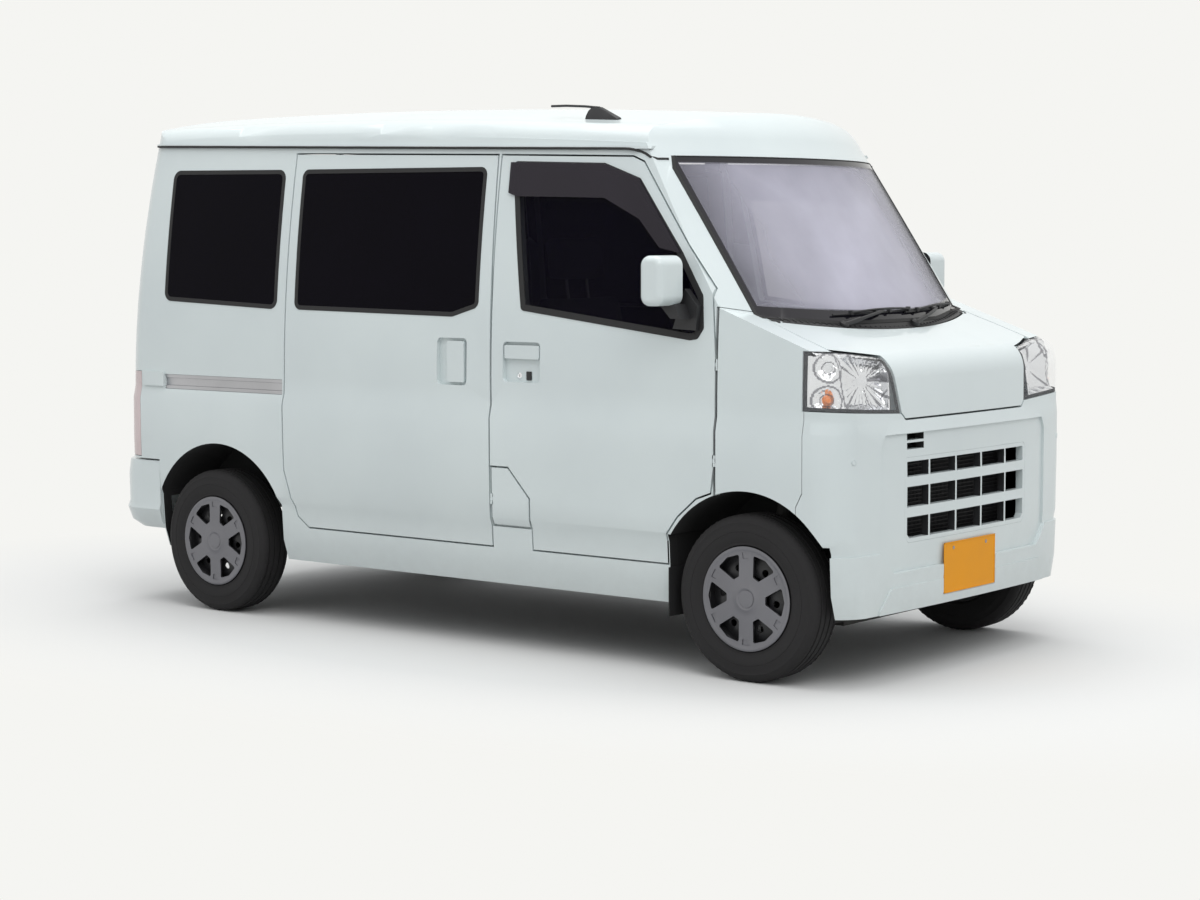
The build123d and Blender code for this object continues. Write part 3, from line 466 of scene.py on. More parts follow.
def dressNode(node, s):
    mesh = frame["nodes"][node].data.copy()
    mesh.name = node + "Skin"
    piece = addPiece(mesh.name, mesh)
    bm = bmesh.new()
    bm.from_mesh(mesh)
    bmesh.ops.remove_doubles(bm, verts=bm.verts, dist=s["merge"])
    bmesh.ops.dissolve_degenerate(bm, edges=bm.edges, dist=s["sliver"])
    crispEdges(bm, s["smooth"])
    base = nodeFinish.get(node) or slotFinish[nodeSlot[node]]
    used = [base]
    rule = panelRules.get(node)
    bm.normal_update()
    for f in bm.faces:
        f.smooth = True
        finish = rule(node, f.calc_center_median(), f.normal) if rule else base
        if finish not in used:
            used.append(finish)
        f.material_index = used.index(finish)
    mesh.materials.clear()
    for finish in used:
        mesh.materials.append(finishes[finish])
    bm.to_mesh(mesh)
    bm.free()
    easeEdges(piece, s["edge"], 1, s["sharp"])
    return declare(piece, nodeBody[node], [node])


# nodes that finer pieces stand for
remade = ("tyre_", "rim_", "front_wipers", "front_seats", "rear_bench", "roof_antenna", "headlamps")
skins = {}
for node in frame["nodes"]:
    if not node.startswith(remade):
        skins[node] = dressNode(node, skinSizes)
print("panels dressed", len(skins))


# node trees for what repeats
def treeWith(name, inputs):
    tree = bpy.data.node_groups.new(name, "GeometryNodeTree")
    tree.interface.new_socket("Geometry", in_out="INPUT", socket_type="NodeSocketGeometry")
    ids = {}
    for label, kind in {**inputs, "Finish": "Material"}.items():
        ids[label] = tree.interface.new_socket(label, in_out="INPUT", socket_type="NodeSocket" + kind).identifier
    tree.interface.new_socket("Geometry", in_out="OUTPUT", socket_type="NodeSocketGeometry")
    return tree, nodeOf(tree, "NodeGroupInput").outputs, ids


def finishTree(tree, given, points, values={}):
    values = {"Points": points, "Instance": given["Geometry"], **values}
    place = nodeOf(tree, "GeometryNodeInstanceOnPoints", values)
    whole = nodeOf(tree, "GeometryNodeRealizeInstances", {"Geometry": place.outputs["Instances"]})
    surface = nodeOf(
        tree, "GeometryNodeSetMaterial", {"Geometry": whole.outputs["Geometry"], "Material": given["Finish"]}
    )
    nodeOf(tree, "NodeGroupOutput", {"Geometry": surface.outputs["Geometry"]})


# copies of the seed turned about the Y axis
def ringTree():
    tree, given, ids = treeWith("ringRepeat", {"Count": "Int", "First angle": "Float", "Step angle": "Float"})
    points = nodeOf(tree, "GeometryNodePoints", {"Count": given["Count"]})
    index = nodeOf(tree, "GeometryNodeInputIndex").outputs[0]
    angle = plus(tree, times(tree, index, given["Step angle"]), given["First angle"])
    turn = nodeOf(tree, "FunctionNodeAxisAngleToRotation", {"Axis": (0, 1, 0), "Angle": angle})
    finishTree(tree, given, points.outputs[0], {"Rotation": turn.outputs["Rotation"]})
    return tree, ids


# copies of the seed along a straight row
def rowTree():
    tree, given, ids = treeWith("rowRepeat", {"Count": "Int", "Step": "Vector"})
    line = nodeOf(tree, "GeometryNodeMeshLine", {"Count": given["Count"], "Offset": given["Step"]})
    finishTree(tree, given, line.outputs["Mesh"])
    return tree, ids


ringRepeat = ringTree()
rowRepeat = rowTree()


# applies what is on a piece and leaves a plain mesh
def settle(piece):
    deps = bpy.context.evaluated_depsgraph_get()
    mesh = bpy.data.meshes.new_from_object(piece.evaluated_get(deps), depsgraph=deps)
    old = piece.data
    piece.modifiers.clear()
    piece.data = mesh
    mesh.name = old.name
    bpy.data.meshes.remove(old)
    return piece


def grow(piece, treeAndIds, values):
    tree, ids = treeAndIds
    mod = piece.modifiers.new("repeat", "NODES")
    mod.node_group = tree
    for label, value in {**values, "Finish": piece.data.materials[0]}.items():
        mod[ids[label]] = value
    return settle(piece)


def growRing(piece, count, first=0.0):
    return grow(piece, ringRepeat, {"Count": count, "First angle": first, "Step angle": 2 * math.pi / count})


def meshPiece(name, verts, faces, finish, smooth=False):
    mesh = bpy.data.meshes.new(name)
    mesh.from_pydata([tuple(v) for v in verts], [], faces)
    bm = bmesh.new()
    bm.from_mesh(mesh)
    bmesh.ops.remove_doubles(bm, verts=bm.verts, dist=0.000005)
    bmesh.ops.recalc_face_normals(bm, faces=bm.faces)
    for f in bm.faces:
        f.smooth = smooth
    if smooth:
        crispEdges(bm, 38)
    bm.to_mesh(mesh)
    bm.free()
    mesh.materials.append(finishes[finish])
    return addPiece(name, mesh)


mirror = Matrix.Scale(-1, 4, (0, 1, 0))


def dropPiece(piece):
    mesh = piece.data
    bpy.data.objects.remove(piece)
    bpy.data.meshes.remove(mesh)


def copyPiece(piece, name, place):
    mesh = piece.data.copy()
    mesh.name = name
    mesh.transform(place)
    if place.determinant() < 0:
        mesh.flip_normals()
    return addPiece(name, mesh)


def smoothFaces(piece):
    for f in piece.data.polygons:
        f.use_smooth = True


# soft-edged block between two corners, optionally turned about its middle
def boxPart(low, high, ease=0.0, turn=None):
    bm = bmesh.new()
    bmesh.ops.create_cube(bm, size=1)
    mid = (Vector(low) + Vector(high)) / 2
    size = Vector(high) - Vector(low)
    for v in bm.verts:
        v.co = Vector((v.co.x * size.x, v.co.y * size.y, v.co.z * size.z)) + mid
    if ease:
        bmesh.ops.bevel(bm, geom=bm.edges[:] + bm.verts[:], offset=ease, segments=2, affect="EDGES", profile=0.6)
    if turn:
        for v in bm.verts:
            v.co = turn @ (v.co - mid) + mid
    verts = [v.co.copy() for v in bm.verts]
    faces = [tuple(v.index for v in f.verts) for f in bm.faces]
    bm.free()
    return verts, faces


def joined(parts):
    verts, faces = [], []
    for v, f in parts:
        base = len(verts)
        verts += v
        faces += [tuple(i + base for i in face) for face in f]
    return verts, faces


# a skin over rings of points, joined one after another; an open row of rings is capped
def loftPart(rings, closed=False):
    n, count = len(rings[0]), len(rings)
    faces = []
    for i in range(count if closed else count - 1):
        a, b = i * n, (i + 1) % count * n
        faces += [(a + k, b + k, b + (k + 1) % n, a + (k + 1) % n) for k in range(n)]
    if not closed:
        faces += [tuple(range(n)), tuple(reversed(range((count - 1) * n, count * n)))]
    return [spot for ring in rings for spot in ring], faces


def circle(centre, side, other, radius, steps):
    turns = [2 * math.pi * k / steps for k in range(steps)]
    return [centre + (side * math.cos(a) + other * math.sin(a)) * radius for a in turns]


# a turned shape: closed profile of (radius, height) about an axis
def turnedPart(profile, centre, axis, steps=48):
    axis = Vector(axis).normalized()
    side = axis.orthogonal().normalized()
    rays = circle(Vector((0, 0, 0)), side, axis.cross(side), 1, steps)
    return loftPart([[Vector(centre) + out * r + axis * h for r, h in profile] for out in rays], True)


# round bar through points
def barPart(points, radius, sides=10):
    points = [Vector(p) for p in points]
    rings = []
    for before, here, after in zip(points[:1] + points, points, points[1:] + points[-1:]):
        ahead = (after - before).normalized()
        side = ahead.cross(Vector((0, 0, 1)))
        side = side.normalized() if side.length > 0.05 else ahead.cross(Vector((1, 0, 0))).normalized()
        rings.append(circle(here, side, side.cross(ahead), radius, sides))
    return loftPart(rings)


def mirrored(part):
    verts, faces = part
    return [Vector((v.x, -v.y, v.z)) for v in verts], faces


def addPart(name, part, finish, body="body", nodes=(), smooth=True):
    return declare(meshPiece(name, *part, finish, smooth), body, nodes)


# parts made as drawn on the right and mirrored on the left; each row holds name, part, finish and slot
def makePairs(rows, bodies=("body", "body"), flat=()):
    for end, body in zip(("Right", "Left"), bodies):
        for name, part, finish, slot in rows:
            part = part if end == "Right" else mirrored(part)
            addPart(name + end, part, finish, body, smooth=name not in flat)


# a slab between two levels; spot puts an outline point and a level in space
def prismPart(outline, low, high, spot=lambda x, z, y: Vector((x, y, z))):
    n = len(outline)
    verts = [spot(*point, level) for level in (low, high) for point in outline]
    faces = [tuple(range(n)), tuple(range(2 * n - 1, n - 1, -1))]
    faces += [(i, i + n, (i + 1) % n + n, (i + 1) % n) for i in range(n)]
    return verts, faces


# outline loops of the outward faces of a skin, each point with its surface normal and inward direction
def outlineLoops(piece, outward, limit):
    bm = bmesh.new()
    bm.from_mesh(piece.data)
    bm.normal_update()
    faces = [f for f in bm.faces if outward(f.calc_center_median()).dot(f.normal) > limit]
    chosen = set(faces)
    step = {}
    for f in faces:
        for loop in f.loops:
            others = [g for g in loop.edge.link_faces if g is not f and g in chosen]
            if not others:
                step[loop.vert] = (loop.link_loop_next.vert, f)
    loops = []
    while step:
        first = next(iter(step))
        ring, spot = [], first
        while spot in step:
            follow, face = step.pop(spot)
            ring.append((spot.co.copy(), face.normal.copy()))
            spot = follow
        if len(ring) > 3:
            loops.append(ring)
    bm.free()
    return loops


# a strip of this profile along an outline loop
def ringPart(loop, profile):
    rings = []
    for before, here, after in zip(loop[-1:] + loop[:-1], loop, loop[1:] + loop[:1]):
        normal = (before[1] + here[1]).normalized()
        ways = (here[0] - before[0], after[0] - here[0])
        inA, inB = (normal.cross(way.normalized()).normalized() for way in ways)
        inward = (inA + inB) / max(0.5, 1 + inA.dot(inB))
        rings.append([here[0] + inward * off + normal * high for off, high in profile])
    return loftPart(rings, True)


def sideways(centre):
    return Vector((0, -1 if centre.y < 0 else 1, 0.12)).normalized()


def forward(centre):
    return Vector((1, 0, 0.45)).normalized()


def backward(centre):
    return Vector((-1, 0, 0.1)).normalized()


# window rubbers: a flat black ring on each pane's edge
sealSink, sealFacing = 0.001, 0.4
doorSeal = {"lap": 0.007, "inside": 0.016, "proud": 0.002, "way": sideways}
sealSizes = {
    "side_glass": {"lap": 0.006, "inside": 0.011, "proud": 0.0016, "way": sideways},
    "front_door_glass_right": doorSeal, "front_door_glass_left": doorSeal,
    "tailgate_glass": {"lap": 0.006, "inside": 0.012, "proud": 0.0016, "way": backward},
    "windscreen": {"lap": 0.006, "inside": 0.008, "proud": 0.002, "way": forward},
}


def makeSeals(sizes):
    for node, s in sizes.items():
        lap, inside, proud = s["lap"], s["inside"], s["proud"]
        profile = [(-lap, -sealSink), (-lap + 0.0008, proud), (inside - 0.0012, proud), (inside, -sealSink)]
        rings = [ringPart(loop, profile) for loop in outlineLoops(skins[node], s["way"], sealFacing)]
        if rings:
            addPart(node + "Seal", joined(rings), "rubber", nodeBody[node])


makeSeals(sealSizes)
print("seals made")

# wheel covers, drawn for a wheel at the origin that faces -Y
coverSizes = {
    "windows": 6, "windowEase": 0.006, "steps": 96, "edge": 0.0014, "sharp": 40, "cutFrom": -0.09, "cutTo": -0.04,
    "windowShape": [(-0.012, 0.074), (0.012, 0.074), (0.046, 0.135), (0.0, 0.1465), (-0.046, 0.135)],
    "dimpleLow": 0.128, "dimpleHigh": 0.148, "dimpleHalf": 0.0125, "dimpleFlare": 1.25, "dimpleFloor": -0.0655,
    "dimpleEase": 0.003,
    "profile": [
        (0.0, 0.0600), (0.150, 0.0600), (0.1655, 0.0635), (0.1678, 0.0660), (0.1672, 0.0695), (0.1640, 0.0712),
        (0.1585, 0.0715), (0.1545, 0.0690), (0.1500, 0.0680), (0.1200, 0.0676), (0.0900, 0.0682), (0.0600, 0.0694),
        (0.0400, 0.0700), (0.0385, 0.0712), (0.0360, 0.0717), (0.0325, 0.0714), (0.0305, 0.0696), (0.0290, 0.0692),
        (0.0280, 0.0704), (0.0200, 0.0712), (0.0, 0.0714),
    ],
}


def easedOutline(outline, ease, steps=4):
    out = []
    n = len(outline)
    for i in range(n):
        p, a, b = (Vector((*outline[k % n], 0)) for k in (i, i - 1, i + 1))
        da, db = (a - p).normalized(), (b - p).normalized()
        half = da.angle(db) / 2
        reach = ease / math.tan(half)
        centre = p + (da + db).normalized() * (ease / math.sin(half))
        start, stop = p + da * reach - centre, p + db * reach - centre
        for k in range(steps + 1):
            arm = start.lerp(stop, k / steps).normalized() * ease
            out.append(((centre + arm).x, (centre + arm).y))
    return out


def cutWith(piece, cutter):
    mod = piece.modifiers.new("cut", "BOOLEAN")
    mod.operation = "DIFFERENCE"
    mod.object = cutter
    mod.solver = "EXACT"
    settle(piece)
    dropPiece(cutter)


def turnedPiece(name, profile, steps, finish):
    return meshPiece(name, *turnedPart(profile, (0, 0, 0), (0, -1, 0), steps), finish, True)


def makeCover(s):
    cover = turnedPiece("wheelCover", s["profile"], s["steps"], "wheelSilver")
    outline = easedOutline(s["windowShape"], s["windowEase"])
    window = meshPiece("coverWindow", *prismPart(outline, s["cutFrom"], s["cutTo"]), "wheelSilver")
    cutWith(cover, growRing(window, s["windows"], math.pi / s["windows"]))
    half, low, high = s["dimpleHalf"], s["dimpleLow"], s["dimpleHigh"]
    flare = half * s["dimpleFlare"]
    outline = easedOutline([(-half, low), (half, low), (flare, high), (-flare, high)], s["dimpleEase"])
    dimple = meshPiece("coverDimple", *prismPart(outline, s["cutFrom"], s["dimpleFloor"]), "wheelSilver")
    cutWith(cover, growRing(dimple, s["windows"]))
    easeEdges(cover, s["edge"], 2, s["sharp"])
    settle(cover)
    smoothFaces(cover)
    return cover


# tyre: turned casing with grooves, and lugs round both shoulders
tyreSizes = {
    "lugs": 64, "steps": 96,
    "profile": [
        (0.1525, 0.0572), (0.1638, 0.0575), (0.1690, 0.0612), (0.1712, 0.0655), (0.1740, 0.0668), (0.1765, 0.0660),
        (0.1790, 0.0664), (0.1900, 0.0698), (0.2030, 0.0719), (0.2120, 0.0724), (0.2135, 0.0712), (0.2150, 0.0724),
        (0.2290, 0.0713), (0.2400, 0.0698), (0.2425, 0.0704), (0.2440, 0.0694), (0.2500, 0.0668), (0.2560, 0.0632),
        (0.2612, 0.0590), (0.2645, 0.0530), (0.2658, 0.0490), (0.2672, 0.0440), (0.2600, 0.0425), (0.2600, 0.0375),
        (0.2676, 0.0360), (0.2679, 0.0180), (0.2605, 0.0165), (0.2605, 0.0115), (0.2680, 0.0100), (0.2680, 0.0),
    ],
    "lugHalf": 0.0045,
    "lug": [
        (0.0465, 0.2560), (0.0610, 0.2500), (0.0640, 0.2540), (0.0580, 0.2618), (0.0505, 0.2668), (0.0465, 0.2668),
    ],
}


def makeTyre(s):
    half = s["profile"]
    full = half + [(r, -y) for r, y in reversed(half[:-1])]
    casing = turnedPiece("casing", full, s["steps"], "tyreRubber")
    low, high = -s["lugHalf"], s["lugHalf"]
    sides = [
        prismPart([(y * side, z) for y, z in s["lug"]], low, high, lambda y, z, x: Vector((x, y, z)))
        for side in (-1, 1)
    ]
    lugs = meshPiece("lugs", *joined(sides), "tyreRubber")
    return joinPieces("tyreWhole", [casing, growRing(lugs, s["lugs"])])


def joinPieces(name, pieces):
    bm = bmesh.new()
    materials = []
    for p in pieces:
        start = len(bm.faces)
        bm.from_mesh(p.data)
        bm.faces.ensure_lookup_table()
        shift = []
        for m in p.data.materials:
            if m not in materials:
                materials.append(m)
            shift.append(materials.index(m))
        for f in bm.faces[start:]:
            f.material_index = shift[f.material_index] if f.material_index < len(shift) else 0
    mesh = bpy.data.meshes.new(name)
    bm.to_mesh(mesh)
    bm.free()
    for m in materials:
        mesh.materials.append(m)
    for p in pieces:
        dropPiece(p)
    return addPiece(name, mesh)


# pressed steel wheel behind the cover: a disc with round holes, and the rim barrel with its flanges and hub
wheelSizes = {
    "z": 0.268, "y": 0.6525, "x": {"front": 1.305, "rear": -1.145},
    "disc": [
        (0.013, 0.030), (0.060, 0.030), (0.075, 0.046), (0.105, 0.050), (0.128, 0.040), (0.1495, 0.036),
        (0.1495, 0.032), (0.126, 0.035), (0.104, 0.045), (0.077, 0.041), (0.062, 0.025), (0.013, 0.025),
    ],
    "hole": [(0.0, 0.02), (0.012, 0.02), (0.012, 0.07), (0.0, 0.07)],
    "holes": 12, "holeAt": 0.103, "holeTurn": 0.1,
    "barrel": [
        (0.1515, 0.0574), (0.1625, 0.0576), (0.1632, 0.0600), (0.1622, 0.0628), (0.1500, 0.0630), (0.1450, 0.0580),
        (0.1430, 0.0200), (0.1430, -0.0300), (0.1440, -0.0600), (0.1500, -0.0632), (0.1622, -0.0630),
        (0.1630, -0.0600), (0.1622, -0.0576), (0.1515, -0.0574), (0.1480, -0.0500), (0.1470, 0.0), (0.1480, 0.0500),
    ],
    "hub": [(0.0125, -0.036), (0.030, -0.036), (0.032, 0.022), (0.026, 0.040), (0.0125, 0.040)],
}


def makeDisc(s):
    disc = turnedPiece("wheelDisc", s["disc"], 64, "wheelBlack")
    hole = turnedPart(s["hole"], (0, 0, s["holeAt"]), (0, -1, 0), 16)
    cutWith(disc, growRing(meshPiece("discHole", *hole, "wheelBlack"), s["holes"], s["holeTurn"]))
    return disc


def makeWheels(s):
    tyre = makeTyre(tyreSizes)
    barrel = turnedPiece("barrel", s["barrel"], 72, "wheelBlack")
    hub = turnedPiece("hub", s["hub"], 36, "wheelBlack")
    wheel = joinPieces("wheelWhole", [barrel, hub, makeDisc(s), makeCover(coverSizes)])
    for axle in ("front", "rear"):
        for side in ("right", "left"):
            place = axle + "_" + side
            y = s["y"] if side == "left" else -s["y"]
            turn = Matrix.Rotation(math.pi if side == "left" else 0, 4, "Z")
            spot = Matrix.Translation((s["x"][axle], y, s["z"])) @ turn
            for piece, node, end, slot in ((tyre, "tyre_", "Tread", "tyre"), (wheel, "rim_", "Cover", "wheel")):
                copy = copyPiece(piece, node + place + end, spot)
                declare(copy, "wheel_" + place, [node + place])
    dropPiece(tyre)
    dropPiece(wheel)


makeWheels(wheelSizes)
print("wheels made")

# point on the windscreen, stood off along its slope
screenShape = {"axisX": -0.1, "baseRadius": 1.532, "baseZ": 1.1, "slope": 378 / 620}


def screenPoint(y, z, stand, s=screenShape):
    radius = s["baseRadius"] - (z - s["baseZ"]) * s["slope"] + stand
    return Vector((s["axisX"] + math.sqrt(radius ** 2 - y ** 2), y, z + stand * 0.5))


def screenLine(start, end, steps, stand, bow=0.0):
    (ay, az), (by, bz) = start, end
    return [
        screenPoint(ay + (by - ay) * t, az + (bz - az) * t, stand + bow * math.sin(math.pi * t)) for t in steps
    ]


# front wipers: pivot cap, arm, bridge and rubber
wiperSizes = {
    "wipers": [
        {"pivot": (-0.300, 1.119), "middle": (-0.082, 1.157), "start": (-0.330, 1.152), "end": (0.165, 1.160)},
        {"pivot": (0.091, 1.116), "middle": (0.310, 1.157), "start": (0.060, 1.152), "end": (0.560, 1.168)},
    ],
    "cap": [(0.0, -0.006), (0.016, -0.006), (0.016, 0.008), (0.0112, 0.013), (0.0, 0.014)],
    "capStand": 0.004, "capWay": (0.45, 0, 0.9), "armSteps": (0, 0.15, 0.3, 0.5, 0.7, 0.85, 1),
    "armStand": 0.012, "armBow": 0.010, "armRadius": 0.0055, "rootRadius": 0.00825, "rubber": 0.0035,
    "stand": 0.006, "steps": 12, "bridged": (2, 10),
    "bridgeUp": (0.006, 0, 0.005), "bridgeBow": 0.006, "bridge": 0.0042, "clips": (2, 5, 7, 10),
    "clipLow": (-0.004, -0.006, -0.003), "clipHigh": (0.009, 0.006, 0.012), "clipEase": 0.0015,
}


def makeWipers(s):
    parts = []
    for w in s["wipers"]:
        parts.append(turnedPart(s["cap"], screenPoint(*w["pivot"], s["capStand"]), s["capWay"], 24))
        arm = screenLine(w["pivot"], w["middle"], s["armSteps"], s["armStand"], s["armBow"])
        parts.append(barPart(arm[:3], s["rootRadius"], 8))
        parts.append(barPart(arm[2:], s["armRadius"], 8))
        line = screenLine(w["start"], w["end"], [i / s["steps"] for i in range(s["steps"] + 1)], s["stand"])
        parts.append(barPart(line, s["rubber"], 6))
        bridge = []
        first, last = s["bridged"]
        for i in range(first, last + 1):
            bow = s["bridgeBow"] * math.sin(math.pi * (i - first) / (last - first))
            bridge.append(line[i] + Vector(s["bridgeUp"]) + Vector((0, 0, bow)))
        parts.append(barPart(bridge, s["bridge"], 6))
        for i in s["clips"]:
            parts.append(boxPart(line[i] + Vector(s["clipLow"]), line[i] + Vector(s["clipHigh"]), s["clipEase"]))
    addPart("wiperArms", joined(parts), "blackPlastic", nodes=["front_wipers"])


# cowl louvres under the windscreen
cowlSizes = {
    "axisX": -0.1, "radius": 1.512, "count": 44, "halfTurn": 21.0,
    "width": 0.030, "thick": 0.0045, "sink": 0.001, "tall": 0.003, "ease": 0.0008,
    "top": 1.301, "topX": 0.9, "slope": 255 / 700, "crown": 22, "lean": 20,
}


def makeCowlSlots(s):
    parts = []
    for i in range(s["count"]):
        a = math.radians(-s["halfTurn"] + 2 * s["halfTurn"] * i / (s["count"] - 1))
        x, y = s["axisX"] + s["radius"] * math.cos(a), s["radius"] * math.sin(a)
        z = s["top"] - s["slope"] * (x + y * y / s["crown"] - s["topX"])
        turn = Matrix.Rotation(a, 3, "Z") @ Matrix.Rotation(math.radians(s["lean"]), 3, "Y")
        low = (x - s["width"] / 2, y - s["thick"] / 2, z - s["sink"])
        high = (x + s["width"] / 2, y + s["thick"] / 2, z + s["tall"])
        parts.append(boxPart(low, high, s["ease"], turn))
    addPart("cowlLouvres", joined(parts), "blackPlastic")


# radiator and black ducts behind the grille
grilleBack = {
    "x": 1.585, "half": 0.390, "low": 0.442, "high": 0.712, "ease": 0.001,
    "core": (0.03, 0.004), "coreEase": 0.003,
    "tubeDeep": (0.005, 0.0), "tubeHigh": (0.004, 0.0065), "tubeStep": 0.0125, "tubeEnd": 0.01,
    "finDeep": (0.0045, 0.0015), "finWide": 0.0012, "finEnd": 0.004, "finStep": 0.0085,
    "ductFront": 1.650, "ductWall": 0.006, "ductGap": 0.002,
    "slot": ((1.628, -0.385, 0.728), (1.634, -0.266, 0.797)),
}


def makeRadiator(s):
    x, half, low, high, wall, front = (s[k] for k in ("x", "half", "low", "high", "ductWall", "ductFront"))
    (coreBack, coreFront), (tubeBack, tubeFront), (finBack, finFront) = s["core"], s["tubeDeep"], s["finDeep"]
    tubeLow, tubeHigh = (low + z for z in s["tubeHigh"])
    tubes, fins = int((high - low - s["tubeEnd"]) / s["tubeStep"]), int(2 * half / s["finStep"])
    back, wide = x - coreBack, half + s["ductGap"]
    duct = [
        boxPart((back, *a), (front, *b), s["ease"]) for a, b in (
            ((-wide - wall, low - wall), (-wide, high + wall)), ((wide, low - wall), (wide + wall, high + wall)),
            ((-wide, low - wall), (wide, low)), ((-wide, high), (wide, high + wall)),
        )
    ]
    tube = boxPart((x - tubeBack, -half, tubeLow), (x - tubeFront, half, tubeHigh))
    finCorner = (x - finFront, -half + s["finWide"], high - s["finEnd"])
    fin = boxPart((x - finBack, -half, low + s["finEnd"]), finCorner)
    for name, part, repeat in (
        ("radiatorCore", boxPart((back, -half, low), (x - coreFront, half, high), s["coreEase"]), None),
        ("radiatorTube", tube, {"Count": tubes, "Step": (0, 0, s["tubeStep"])}),
        ("radiatorFin", fin, {"Count": fins, "Step": (0, s["finStep"], 0)}),
        ("radiatorDuct", joined(duct), None),
        ("slotDuct", boxPart(*s["slot"], s["ease"]), None),
    ):
        piece = meshPiece(name, *part, "blackPlastic", name == "radiatorDuct")
        if repeat:
            grow(piece, rowRepeat, repeat)
        declare(piece, "body")


# first point of a skin met from a start along a direction
def met(piece, start, way):
    hit = piece.ray_cast(Vector(start), Vector(way).normalized())
    return hit[1].copy() if hit[0] else None


# lamp reflector: a relief behind the lens, seen from its outer corner
reflectorSizes = {
    "turn": 39.0, "across": (-0.365, -0.010), "up": (0.850, 1.060), "step": 0.0035, "middle": (1.60, -0.60),
    "ahead": 0.3, "shift": 0.170, "start": 3.0, "leastX": 1.50,
    "rim": 0.010, "rimDeep": 0.009, "rimReach": 0.03, "slope": 2.6, "wall": 0.0015,
    "bowls": {
        "fan": {"at": (-0.110, 0.957), "radius": 0.150, "deep": 0.058, "ribs": 26, "rib": 0.0035},
        "signal": {"at": (-0.250, 0.905), "radius": 0.052, "deep": 0.034, "ribs": 14, "rib": 0.0020},
        "pocket": {"at": (-0.245, 1.005), "radius": 0.050, "deep": 0.030, "ribs": 5, "rib": 0.0025},
    },
    "bulbs": {
        "fan": ("mainBulb", "lampClear", 0.013), "signal": ("signalBulb", "amber", 0.010),
        "pocket": ("sideBulb", "lampClear", 0.010),
    },
    "bulb": [(0.0, -0.004), (1.5, -0.004), (1.5, 0.003), (1, 0.006), (1, 0.016), (0.7, 0.022), (0.0, 0.024)],
    "base": 0.016, "divider": (-0.205, 0.18, 0.0030), "fanShade": (0.022, 0.111), "fluteFull": 0.03,
    "bowlShades": ((0.80, 0.93), (0.34, 0.42)),
    "shades": [
        (-3, 17), (30, 35), (47, 50), (-32, -27), (-52, -47), (66, 69), (-75, -71), (118, 124), (150, 153),
        (-140, -135),
    ],
}


# where the reflector gets painted dark reflections in darker chrome: steep steps in the fan, the edges of the small
# bowls and the divider
def shadedCell(u, v, s):
    fan = s["bowls"]["fan"]["at"]
    du, dv = u - fan[0], v - fan[1]
    turn = math.degrees(math.atan2(dv, du))
    low, high = s["fanShade"]
    if low < math.hypot(du, dv) < high and any(a < turn < b for a, b in s["shades"]):
        return True
    for name in ("signal", "pocket"):
        b = s["bowls"][name]
        part = math.hypot(u - b["at"][0], v - b["at"][1]) / b["radius"]
        if any(a < part < b for a, b in s["bowlShades"]):
            return True
    place, lean, half = s["divider"]
    return abs(u - place - lean * (fan[1] - v)) < half


def bowlDepth(b, u, v, full):
    du, dv = u - b["at"][0], v - b["at"][1]
    away = math.hypot(du, dv)
    if away > b["radius"]:
        return 0
    flute = abs(math.sin(math.atan2(dv, du) * b["ribs"] / 2)) * b["rib"] * min(1, away / full)
    return b["deep"] * (1 - (away / b["radius"]) ** 2) + flute


def makeReflectors(s):
    lens = skins["headlamp_lenses"]
    turn = math.radians(s["turn"])
    way = Vector((math.cos(turn), -math.sin(turn), 0))
    side = Vector((math.sin(turn), math.cos(turn), 0))
    centre = Vector((*s["middle"], 0)) + way * s["ahead"]
    shift = centre.dot(side) + s["shift"]
    (u0, u1), (v0, v1), step = s["across"], s["up"], s["step"]
    front = {}
    for i in range(int((u1 - u0) / step) + 1):
        for j in range(int((v1 - v0) / step) + 1):
            spot = side * (u0 + i * step + shift) + Vector((0, 0, v0 + j * step))
            hit = met(lens, spot + way * (s["start"] - spot.dot(way)), -way)
            if hit and hit.y < 0 and hit.x > s["leastX"]:
                front[i, j] = hit
    edge = {}
    reach = int(s["rimReach"] / step) + 1
    for i, j in front:
        near = reach
        for r in range(1, reach):
            if any((i + a * r, j + b * r) not in front for a, b in ((1, 0), (-1, 0), (0, 1), (0, -1))):
                near = r
                break
        edge[i, j] = near * step
    verts, index = [], {}
    for (i, j), hit in front.items():
        u, v = u0 + i * step, v0 + j * step
        deep = max(s["base"], *(bowlDepth(b, u, v, s["fluteFull"]) for b in s["bowls"].values()))
        deep = min(deep, s["rimDeep"] + max(0, edge[i, j] - s["rim"]) * s["slope"])
        index[i, j] = len(verts)
        verts.append(hit - way * deep)
    faces, dark = [], []
    for i, j in front:
        ring = [(i, j), (i + 1, j), (i + 1, j + 1), (i, j + 1)]
        if all(k in index for k in ring):
            faces.append(tuple(index[k] for k in ring))
            dark.append(shadedCell(u0 + (i + 0.5) * step, v0 + (j + 0.5) * step, s))
    shell = meshPiece("lampReflectorRight", verts, faces, "chrome", True)
    # darker chrome on the chosen cells: painted dark reflections
    shell.data.materials.append(finishes["chromeShade"])
    for f, shade in zip(shell.data.polygons, dark):
        f.material_index = int(shade)
    wall = shell.modifiers.new("wall", "SOLIDIFY")
    wall.thickness = s["wall"]
    wall.offset = 0
    settle(shell)
    for piece in (shell, copyPiece(shell, "lampReflectorLeft", mirror)):
        declare(piece, "body", ["headlamps"])
    for bowl, (name, finish, r) in s["bulbs"].items():
        u, v = s["bowls"][bowl]["at"]
        foot = verts[index[round((u - u0) / step), round((v - v0) / step)]]
        shape = [(r * wide, high) for wide, high in s["bulb"]]
        makePairs([(name, turnedPart(shape, foot, way, 24), finish, "lamp")])


def lampOutward(centre):
    return Vector((0.8, -0.6 if centre.y < 0 else 0.6, 0.1)).normalized()


